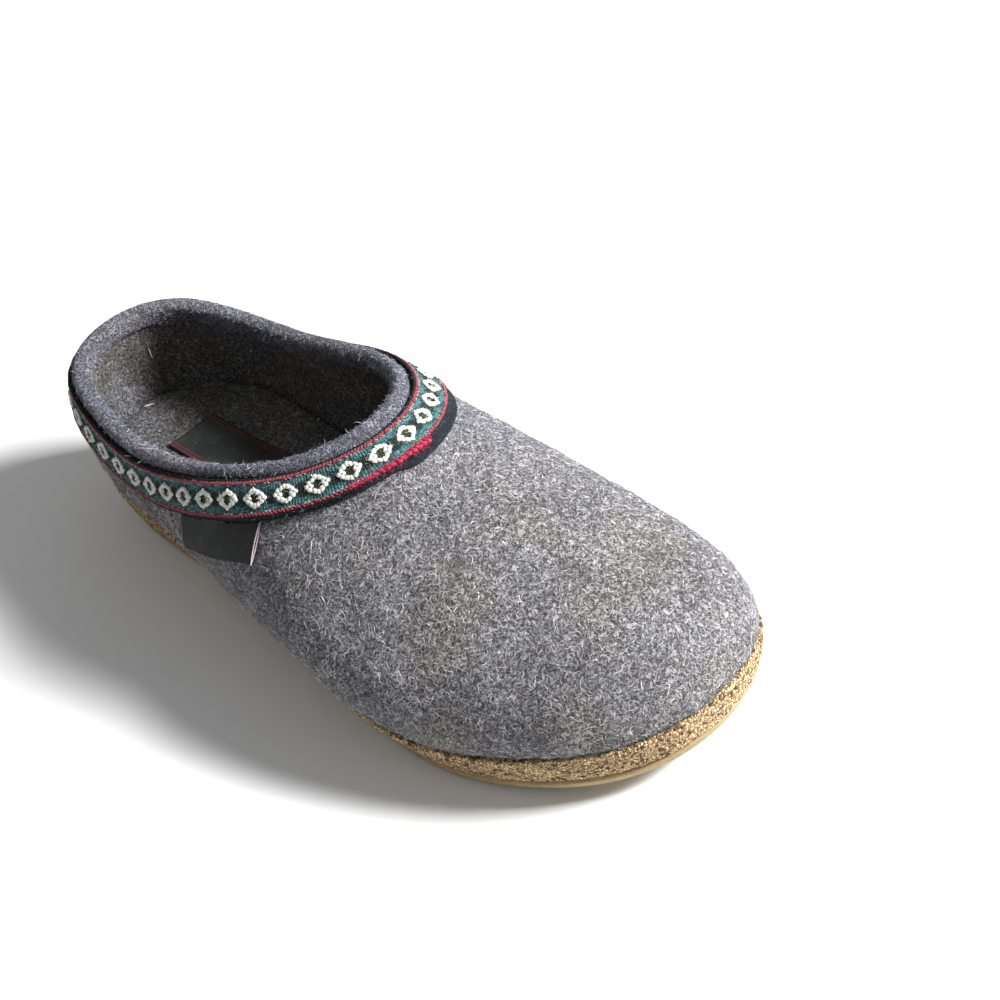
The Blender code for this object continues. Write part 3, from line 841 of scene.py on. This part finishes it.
class SlabFace:
    """Finds a place on the broad face of a four-sided slab from shares across and down it."""

    def __init__(self, node, facing, right, up):
        bm = broad_side(merged(node), lambda f: f.normal.dot(facing))
        verts = [v.co.copy() for v in bm.verts]
        wide, tall = ([p.dot(axis) for p in verts] for axis in (right, up))
        wide, tall = max(wide) - min(wide), max(tall) - min(tall)

        def far(a, b):
            return max(verts, key=lambda p: p.dot(right) * a / wide + p.dot(up) * b / tall)

        self.corners = far(-1, 1), far(1, 1), far(-1, -1), far(1, -1)
        self.skin = BVHTree.FromBMesh(bm)
        bm.free()

    def place(self, across, down):
        a, b, c, d = self.corners
        point = a.lerp(b, across).lerp(c.lerp(d, across), down)
        return self.skin.find_nearest(point)[0]

    def size(self):
        a, b, c, _ = self.corners
        return (a - b).length, (a - c).length


def wool_palette(light, dark):
    """Colours of a felt's loose fibres, each with its share."""
    return (
        (scaled(light, 1.7), 0.22),
        (light, 0.30),
        (tinted(scaled(light, 1.1), LILAC), 0.15),
        (tinted(scaled(light, 1.1), BEIGE), 0.13),
        (scaled(dark, 1.6), 0.20),
    )


def settings():
    return bpy.context.scene.slipper_sizes, bpy.context.scene.slipper_colours


def looks_out(point, out):
    """How far a spot of the upper faces away from the shoe's middle, below zero on its inner face."""
    return out.dot(point - Vector((0, point.y, CORE_HEIGHT)))


def seen_outside(point, out):
    """Whether a spot of the upper is bare felt on the outer face, and not under the ribbon."""
    return RIBBON.skin.find_nearest(point)[3] > BARE_FELT and looks_out(point, out) > 0


class SLIPPER_OT_upper(bpy.types.Operator):
    """Felt upper with its creases, its inner side in a darker, browner copy of the felt as painted shade,
    and its loose fibres
    """

    bl_idname = "slipper.upper"
    bl_label = "Felt upper"

    def execute(self, context):
        sizes, colours = settings()
        mesh = subdivided(merged("upper"), "upper_felt", 2, firm=0.3)
        crease_felt(mesh)
        rough_up(mesh, sizes.felt_relief, 11 * MM, 1.0)
        outside = felt("grey_felt_outside", colours.felt_dark, colours.felt_light)
        # The inner faces take a darker, browner copy of the outer felt: painted shade inside the shoe
        inside = felt("grey_felt_shaded_inside", scaled(colours.felt_dark, 0.7), colours.shaded_inside_light)
        add_piece("upper_felt", mesh, "grey_felt", outside, inside, node="upper")
        for face in mesh.polygons:
            face.material_index = 0 if looks_out(face.center, face.normal) > 0 else 1
        lay_fibres(
            "upper_fibres", mesh, "grey_felt", sizes.upper_fibres, sizes.fibre_width,
            wool_palette(colours.felt_light, colours.felt_dark), seen_outside,
        )
        # The inner side's fibres take the same painted-shade colours
        lay_fibres(
            "shaded_inside_fibres", mesh, "grey_felt", INSIDE_FIBRES, sizes.fibre_width,
            wool_palette(colours.shaded_inside_light, colours.felt_dark),
            lambda point, out: looks_out(point, out) < 0,
        )
        return {"FINISHED"}


class SLIPPER_OT_roll(bpy.types.Operator):
    """Soft felt roll over the collar's edge"""

    bl_idname = "slipper.roll"
    bl_label = "Collar roll"

    def execute(self, context):
        sizes, colours = settings()
        mesh = subdivided(merged("collar_roll"), "collar_roll_felt", 2)
        rough_up(mesh, 0.6 * sizes.felt_relief, 6 * MM, 4.0)
        wool = felt("roll_felt_wool", scaled(colours.felt_dark, 1.2), colours.roll_light)
        add_piece("collar_roll_felt", mesh, "roll_felt", wool, node="collar_roll")
        lay_fibres(
            "roll_fibres", mesh, "roll_felt", sizes.roll_fibres, sizes.fibre_width,
            wool_palette(colours.roll_light, colours.felt_dark),
        )
        return {"FINISHED"}


class SLIPPER_OT_backing(bpy.types.Operator):
    """Dark felt backing under the ribbon, with its fuzzy lower edge"""

    bl_idname = "slipper.backing"
    bl_label = "Ribbon backing"

    def execute(self, context):
        sizes, colours = settings()
        mesh = subdivided(merged("ribbon_backing"), "backing_felt", 2, firm=0.4)
        rough_up(mesh, 0.5 * sizes.felt_relief, 5 * MM, 7.0)
        dark, light = scaled(NAVY, 0.5), scaled(NAVY, 1.8)
        wool = felt("navy_felt_wool", dark, light, threads_share=0.4, tint_share=0.2)
        add_piece("backing_felt", mesh, "navy_felt", wool, node="ribbon_backing")
        lay_fibres(
            "backing_fibres", mesh, "navy_felt", BACKING_FIBRES, sizes.fibre_width,
            ((scaled(NAVY, 3.0), 0.3), (NAVY, 0.4), (dark, 0.3)),
        )
        return {"FINISHED"}


# One motif of the ribbon: a rough ring of yarn with a point on each side. A row is a stitch, its place as
# shares of the pitch along and across, its turn in degrees and its length as a share of the pitch.
MOTIF = (
    # along, across, turn, length
    (-0.115, 0.175, 40.0, 0.21),
    (0.115, 0.175, -40.0, 0.21),
    (-0.235, 0.095, 48.0, 0.20),
    (0.235, 0.095, -48.0, 0.20),
    (-0.235, -0.095, -48.0, 0.20),
    (0.235, -0.095, 48.0, 0.20),
    (-0.115, -0.175, -40.0, 0.21),
    (0.115, -0.175, 40.0, 0.21),
    (0.0, 0.222, 90.0, 0.17),
    (0.0, -0.222, 90.0, 0.17),
    (-0.320, 0.0, 0.0, 0.17),
    (0.320, 0.0, 0.0, 0.17),
    (-0.185, 0.0, 90.0, 0.13),
    (0.185, 0.0, 90.0, 0.13),
)

# The ribbon's cloth: its thickness, its grid along and across, how far round its grid goes, as a share, so
# that its two ends meet, and how close they merge
CLOTH_DEPTH = 0.85 * MM
CLOTH_GRID = (720, 12)
CLOTH_ROUND = 0.999999
CLOTH_MERGE = 0.02 * MM

# The motifs' yarn: its least and greatest width and its height
MOTIF_YARN = (1.3 * MM, 1.75 * MM)
MOTIF_YARN_HEIGHT = 1.0 * MM
RIBBON_SEED = 41

# The red lines: the step from stitch to stitch, a stitch's slant in degrees and its length, width and
# height, and the same sizes of the small pale stitches, how often one comes and how far aside, as a share
RED_STEP = 1.25 * MM
RED_SLANT = 32.0
RED_STITCH = (1.7 * MM, 0.75 * MM, 0.6 * MM)
PALE_STITCH = (1.0 * MM, 0.4 * MM, 0.5 * MM)
PALE_CHANCE = 0.45
PALE_ASIDE = 0.045

# The loose crimson end: where it starts and stops along the ribbon from the middle of the heel, the number
# of its stitches, and their slant in degrees and length
YARN_START = 180 * MM
YARN_END = 204 * MM
YARN_STEPS = 15
YARN_SLANT = -24
YARN_STITCH = 2.5 * MM


class SLIPPER_OT_ribbon(bpy.types.Operator):
    """Woven ribbon round the collar, with its motifs, its red lines and their small stitches"""

    bl_idname = "slipper.ribbon"
    bl_label = "Ribbon"

    def execute(self, context):
        sizes, colours = settings()
        count = round(RIBBON.length / sizes.motif_pitch)
        pitch = RIBBON.length / count
        start, red_line = sizes.motif_start, sizes.red_line
        cloth = ribbon_cloth("ribbon_cloth", colours, RIBBON.width, pitch, start, red_line)
        size = (RIBBON.length, RIBBON.width)
        bm = woven_grid(*CLOTH_GRID, lambda x, y: RIBBON.place(x * RIBBON.length * CLOTH_ROUND, y)[0], size)
        faces_out(bm, lambda f: f.normal.dot(f.calc_center_median() - COLLAR_MIDDLE))
        bmesh.ops.remove_doubles(bm, verts=bm.verts, dist=CLOTH_MERGE)
        ground = modified(bm, "ribbon_band", "SOLIDIFY", thickness=CLOTH_DEPTH)
        add_piece("ribbon_band", ground, "ribbon_weave", cloth, node="ribbon")

        rng = np.random.default_rng(RIBBON_SEED)
        stitches = []
        for i in range(count):
            middle = start + (i + 0.5) * pitch
            for along, across, turn, length in MOTIF:
                run = middle + along * pitch + rng.normal(0, 0.10 * MM)
                down = 0.5 - across * pitch / RIBBON.width + rng.normal(0, 0.008)
                lean = math.radians(turn + rng.normal(0, 9))
                long = length * pitch * rng.uniform(0.9, 1.15)
                wide = rng.uniform(*MOTIF_YARN)
                stitches.append(RIBBON.stitch(run, down, lean, long, wide, MOTIF_YARN_HEIGHT))
        mesh = pillows("ribbon_motifs", stitches)
        add_piece("ribbon_motifs", mesh, "ribbon_weave", yarn("motif_yarn", colours.motif, 0.55))
        lay_fibres(
            "motif_fibres", mesh, "ribbon_weave", MOTIF_FIBRES, MOTIF_HAIR,
            ((colours.motif, 0.6), (scaled(colours.motif, 0.5), 0.4)),
        )
        teal = colours.field
        lay_fibres(
            "ribbon_fibres", ground, "ribbon_weave", RIBBON_FIBRES, YARN_HAIR,
            ((scaled(teal, 2.6), 0.4), (teal, 0.3), (colours.label_black, 0.3)),
            lambda point, out: out.dot(point - COLLAR_MIDDLE) > 0,
        )
        self.red_lines(red_line, colours, rng)
        self.yarn_end(colours, rng)
        return {"FINISHED"}

    def yarn_end(self, colours, rng):
        """The loose crimson end that runs out along the lower line and past its edge."""
        bright = tinted(colours.crimson, (1.9, 1.2, 2.0))
        stitches = []
        for i in range(YARN_STEPS):
            share = i / (YARN_STEPS - 1)
            run = YARN_START + (YARN_END - YARN_START) * share
            down = 0.90 + 0.11 * share**2 + rng.normal(0, 0.006)
            turn = math.radians(YARN_SLANT + rng.normal(0, 12))
            wide = (0.8 + 0.7 * share) * MM
            stitches.append(RIBBON.stitch(run, down, turn, YARN_STITCH, wide, 0.9 * wide))
        mesh = pillows("ribbon_yarn_end", stitches)
        add_piece("ribbon_yarn_end", mesh, "ribbon_weave", yarn("yarn_end", bright, 0.4))
        lay_fibres(
            "yarn_end_fibres", mesh, "ribbon_weave", YARN_FIBRES, YARN_HAIR,
            ((bright, 0.7), (scaled(bright, 0.5), 0.3)),
        )

    def red_lines(self, red_line, colours, rng):
        """Both red lines: slanted red stitches with a small pale one here and there."""
        red, pale = [], []
        inset = red_line / RIBBON.width
        for line, slant in ((inset, RED_SLANT), (1 - inset, -RED_SLANT)):
            for i in range(int(RIBBON.length / RED_STEP)):
                run = i * RED_STEP + rng.normal(0, 0.08 * MM)
                turn = math.radians(slant + rng.normal(0, 8))
                down = line + rng.normal(0, 0.006)
                red.append(RIBBON.stitch(run, down, turn, *RED_STITCH))
                if rng.random() < PALE_CHANCE:
                    aside = math.copysign(PALE_ASIDE, 0.5 - line)
                    pale.append(RIBBON.stitch(run + RED_STEP / 2, line + aside, -turn, *PALE_STITCH))
        for name, stitches, colour in (
            ("ribbon_red_lines", red, colours.crimson),
            ("ribbon_pale_stitches", pale, PALE_RED),
        ):
            add_piece(name, pillows(name, stitches), "ribbon_weave", yarn(name, colour, 0.4))


# The side tag: its cloth's thickness and grid, how far its free corner curls off and its face ripples, and
# the stitches of its folded edge: how many, how far its two sides part, where it lies from the cloth's
# edge, and half a stitch's length and width
TAG_DEPTH = 0.6 * MM
TAG_GRID = (48, 24)
TAG_CURL = 0.9 * MM
TAG_RIPPLE = 0.25 * MM
SELVEDGE_ROWS = 22
SELVEDGE_OPEN = 0.55 * MM
SELVEDGE_PLACE = Vector((-0.3 * MM, 0.25 * MM, 0))
SELVEDGE_HALF = 0.5 * MM
SELVEDGE_YARN = 0.22 * MM


class SLIPPER_OT_side_tag(bpy.types.Operator):
    """Folded black woven tag on the outer side, left bare"""

    bl_idname = "slipper.side_tag"
    bl_label = "Side tag"

    def execute(self, context):
        _, colours = settings()
        face = SlabFace("side_tag", Vector((1, 0, 0)), Vector((0, 1, 0)), Vector((0, 0, 1)))

        def place(across, down):
            point = face.place(across, down)
            free = down**2 * (0.25 + 0.75 * across**3)
            ripple = TAG_RIPPLE * math.sin(9 * across + 3 * down) * down
            return point + Vector((TAG_CURL * free + ripple, 0, 0))

        bm = woven_grid(*TAG_GRID, place, face.size())
        faces_out(bm, lambda f: f.normal.x)
        mesh = modified(bm, "tag_cloth", "SOLIDIFY", thickness=TAG_DEPTH)
        cloth = label_cloth("tag_black", colours.label_black)
        add_piece("tag_cloth", mesh, "black_weave", cloth, node="side_tag")

        stitches = []
        for side in (-1, 1):
            for i in range(SELVEDGE_ROWS):
                down = (i + 0.5) / SELVEDGE_ROWS
                parted = side * SELVEDGE_OPEN * math.sin(math.pi * down) ** 0.7
                centre = place(1.0, down) + SELVEDGE_PLACE + Vector((parted, 0, 0))
                ahead = (place(1.0, min(1, down + 0.05)) - place(1.0, max(0, down - 0.05))).normalized()
                over = ahead.cross(Vector((1, 0, 0))).normalized()
                axes = ahead * SELVEDGE_HALF, over * SELVEDGE_YARN, ahead.cross(over) * SELVEDGE_YARN
                stitches.append((*axes, centre))
        mesh = pillows("tag_selvedge", stitches)
        add_piece("tag_selvedge", mesh, "black_weave", yarn("tag_selvedge", SELVEDGE_PINK, 0.45))
        return {"FINISHED"}


# The footbed label: its cloth's thickness and grid, and how far it waves
LABEL_DEPTH = 0.5 * MM
LABEL_GRID = (72, 28)
LABEL_WAVE = 0.2 * MM


class SLIPPER_OT_footbed(bpy.types.Operator):
    """Felt footbed and its bare woven label"""

    bl_idname = "slipper.footbed"
    bl_label = "Footbed and label"

    def execute(self, context):
        sizes, colours = settings()
        mesh = subdivided(merged("footbed"), "footbed_felt", 2, firm=0.5)
        rough_up(mesh, 0.7 * sizes.felt_relief, 9 * MM, 9.0)
        # The footbed's felt and fibres are the outer felt painted darker and browner: painted shade inside
        # the shoe
        wool = felt("footbed_shaded_wool", scaled(colours.felt_dark, 0.8), colours.shaded_inside_light)
        add_piece("footbed_felt", mesh, "grey_felt", wool, node="footbed")
        lay_fibres(
            "footbed_shaded_fibres", mesh, "grey_felt", INSIDE_FIBRES, sizes.fibre_width,
            wool_palette(colours.shaded_inside_light, colours.felt_dark), lambda point, out: out.z > 0,
        )

        face = SlabFace("footbed_label", Vector((0, 0, 1)), Vector((0, 1, 0)), Vector((-1, 0, 0)))
        size = face.size()

        def place(across, down):
            wave = LABEL_WAVE * math.sin(7 * across + 2) * abs(2 * down - 1)
            return face.place(across, down) + Vector((0, 0, wave))

        bm = woven_grid(*LABEL_GRID, place, size)
        faces_out(bm, lambda f: f.normal.z)
        mesh = modified(bm, "label_cloth", "SOLIDIFY", thickness=LABEL_DEPTH)
        cloth = label_cloth("label_black", colours.label_black, LABEL_RED, size[1])
        add_piece("label_cloth", mesh, "black_weave", cloth, node="footbed_label")
        return {"FINISHED"}


# Bits of straw caught in the felt. A row is a place as shares along, across and up the shoe, a direction, a
# length and a width.
STRAW = (
    # along, across, up, direction, length, width
    (0.026, -0.080, 0.56, (0.10, 0.25, 0.95), 6.0 * MM, 0.55 * MM),
    (0.036, 0.006, 0.35, (-0.90, 0.40, 0.05), 4.4 * MM, 0.80 * MM),
    (0.143, -0.290, 0.54, (0.20, 0.80, 0.40), 1.4 * MM, 0.60 * MM),
    (0.270, -0.270, 0.34, (0.60, 0.60, 0.10), 1.2 * MM, 0.60 * MM),
)


class SLIPPER_OT_straw(bpy.types.Operator):
    """Bits of straw caught in the felt inside"""

    bl_idname = "slipper.straw"
    bl_label = "Straw bits"

    def execute(self, context):
        skins = [skin_tree(bpy.data.objects[name].data) for name in ("footbed_felt", "upper_felt")]
        bits = []
        for along, across, up, direction, length, width in STRAW:
            spot = Vector(shoe_point(along, across, up))
            point, out, _, _ = min((skin.find_nearest(spot) for skin in skins), key=lambda hit: hit[3])
            ahead = Vector(direction)
            ahead = (ahead - out * ahead.dot(out)).normalized()
            axes = ahead * length / 2, out.cross(ahead) * width / 2, out * width / 3
            bits.append((*axes, point + out * width / 2))
        add_piece("straw_bits", pillows("straw_bits", bits), "cork", straw_skin("dry_straw"))
        return {"FINISHED"}


# The cork: how many granules stand proud of its side, the seed of their places, how far its surface rolls
# and over what length, and how far up or down a face of the side looks at most
CHIPS = 5200
CHIP_SEED = 61
CORK_RELIEF = 0.22 * MM
CORK_WAVE = 1.6 * MM
CORK_SIDE = 0.75


class SLIPPER_OT_midsole(bpy.types.Operator):
    """Granulated cork midsole with loose granules on its side"""

    bl_idname = "slipper.midsole"
    bl_label = "Cork midsole"

    def execute(self, context):
        sizes, colours = settings()
        mesh = subdivided(merged("midsole"), "midsole_cork", 3, firm=0.6)
        rough_up(mesh, CORK_RELIEF, CORK_WAVE, 13.0)
        grain = cork_grain("cork_grain", colours.cork, sizes.granule)
        add_piece("midsole_cork", mesh, "cork", grain, node="midsole")
        side = [face for face in mesh.polygons if abs(face.normal.z) < CORK_SIDE]
        area = np.array([face.area for face in side])
        rng = np.random.default_rng(CHIP_SEED)
        chips = []
        for i in rng.choice(len(side), CHIPS, p=area / area.sum()):
            out = side[i].normal
            corners = [mesh.vertices[k].co for k in side[i].vertices]
            shares = rng.dirichlet(np.ones(len(corners)))
            spot = sum((corner * float(share) for corner, share in zip(corners, shares)), Vector())
            ahead = out.cross(Vector(rng.normal(size=3))).normalized()
            long = sizes.granule * float(rng.uniform(0.3, 0.75))
            wide = long * float(rng.uniform(0.5, 0.9))
            chips.append((ahead * long, out.cross(ahead) * wide, out * 0.35 * wide, spot))
        add_piece("cork_chips", pillows("cork_chips", chips, 6, 3), "cork", grain)
        return {"FINISHED"}


class SLIPPER_OT_outsole(bpy.types.Operator):
    """Thin rubber outsole"""

    bl_idname = "slipper.outsole"
    bl_label = "Rubber outsole"

    def execute(self, context):
        _, colours = settings()
        mesh = subdivided(merged("outsole"), "outsole_rubber", 2, firm=0.7)
        skin = rubber_skin("rubber_skin", colours.rubber)
        add_piece("outsole_rubber", mesh, "rubber", skin, node="outsole")
        return {"FINISHED"}


# The camera, turned round the aim point and moved back, aside and up, in metres and radians
AIM = Vector((0, 0.09, 0.04))
CAMERA_TURN = math.radians(139.4)
CAMERA_HEIGHT = math.radians(41.8)
CAMERA_ROLL = math.radians(-11.3)
CAMERA_FAR = 0.4786
CAMERA_ASIDE = -0.0404
CAMERA_UP = -0.0006
LENS = 54.1
SENSOR = 36.0

# The floor's half width, and the lamps' distance and size in metres and power in watts
FLOOR_HALF = 3.0
KEY_LAMP = (1.4, 0.40, 60.0)
FILL_LAMP = (1.6, 1.2, 0.6)
SKY_STRENGTH = 0.31


class SLIPPER_OT_stage(bpy.types.Operator):
    """Pale floor, soft light and the camera"""

    bl_idname = "slipper.stage"
    bl_label = "Stage"

    def execute(self, context):
        bm = bmesh.new()
        bmesh.ops.create_grid(bm, x_segments=1, y_segments=1, size=FLOOR_HALF)
        mesh = bpy.data.meshes.new("floor")
        bm.to_mesh(mesh)
        bm.free()
        floor = bpy.data.objects.new("floor", mesh)
        context.scene.collection.objects.link(floor)
        mesh.materials.append(paper("floor_paper"))

        right = Vector((math.cos(CAMERA_TURN), math.sin(CAMERA_TURN), 0))
        level = Vector((-right.y, right.x, 0))
        ahead = level * math.cos(CAMERA_HEIGHT) - Vector((0, 0, math.sin(CAMERA_HEIGHT)))
        up = right.cross(ahead)
        across = right * math.cos(CAMERA_ROLL) + up * math.sin(CAMERA_ROLL)
        over = up * math.cos(CAMERA_ROLL) - right * math.sin(CAMERA_ROLL)
        camera = bpy.data.objects.new("camera", bpy.data.cameras.new("camera"))
        camera.data.lens = LENS
        camera.data.sensor_width = SENSOR
        spot = AIM - ahead * CAMERA_FAR - across * CAMERA_ASIDE - over * CAMERA_UP
        turn = Matrix([across, over, -ahead]).transposed().to_4x4()
        camera.matrix_world = Matrix.Translation(spot) @ turn
        context.scene.collection.objects.link(camera)
        context.scene.camera = camera

        behind = right.cross(Vector((0, 0, -1)))
        self.lamp("key", right * 0.78 - behind * 0.07 + Vector((0, 0, 0.59)), *KEY_LAMP)
        self.lamp("fill", -ahead + right * 0.5, *FILL_LAMP)
        world = bpy.data.worlds.new("studio")
        world.use_nodes = True
        sky = world.node_tree.nodes["Background"]
        sky.inputs["Color"].default_value = (1, 1, 1, 1)
        sky.inputs["Strength"].default_value = SKY_STRENGTH
        context.scene.world = world
        context.scene.view_settings.view_transform = "Standard"
        return {"FINISHED"}

    def lamp(self, name, towards, far, size, power):
        """A square soft lamp that looks at the shoe."""
        data = bpy.data.lights.new(name, "AREA")
        data.size = size
        data.energy = power
        lamp = bpy.data.objects.new(name, data)
        lamp.location = AIM + towards.normalized() * far
        lamp.rotation_euler = (-towards).to_track_quat("-Z", "Y").to_euler()
        bpy.context.scene.collection.objects.link(lamp)


class SLIPPER_PT_panel(bpy.types.Panel):
    """Lists the slipper's pieces, sizes and colours"""

    bl_idname = "SLIPPER_PT_panel"
    bl_label = "Felt clog slipper"
    bl_space_type = "VIEW_3D"
    bl_region_type = "UI"
    bl_category = "Slipper"

    def draw(self, context):
        for group in (context.scene.slipper_sizes, context.scene.slipper_colours):
            box = self.layout.box()
            for name in group.bl_rna.properties.keys():
                if name not in ("rna_type", "name"):
                    box.prop(group, name)
        for operator in OPERATORS:
            self.layout.operator(operator.bl_idname)


OPERATORS = (
    SLIPPER_OT_stage,
    SLIPPER_OT_outsole,
    SLIPPER_OT_midsole,
    SLIPPER_OT_footbed,
    SLIPPER_OT_upper,
    SLIPPER_OT_roll,
    SLIPPER_OT_backing,
    SLIPPER_OT_ribbon,
    SLIPPER_OT_side_tag,
    SLIPPER_OT_straw,
)
CLASSES = (SlipperSizes, SlipperColours, *OPERATORS, SLIPPER_PT_panel)


def register():
    for made in CLASSES:
        bpy.utils.register_class(made)
    bpy.types.Scene.slipper_sizes = bpy.props.PointerProperty(type=SlipperSizes)
    bpy.types.Scene.slipper_colours = bpy.props.PointerProperty(type=SlipperColours)


def unregister():
    del bpy.types.Scene.slipper_colours
    del bpy.types.Scene.slipper_sizes
    for made in reversed(CLASSES):
        bpy.utils.unregister_class(made)


def main():
    register()
    bpy.ops.slipper.stage()
    bpy.ops.slipper.outsole()
    bpy.ops.slipper.midsole()
    bpy.ops.slipper.footbed()
    bpy.ops.slipper.upper()
    bpy.ops.slipper.roll()
    bpy.ops.slipper.backing()
    bpy.ops.slipper.ribbon()
    bpy.ops.slipper.side_tag()
    bpy.ops.slipper.straw()


if __name__ == "__main__":
    main()
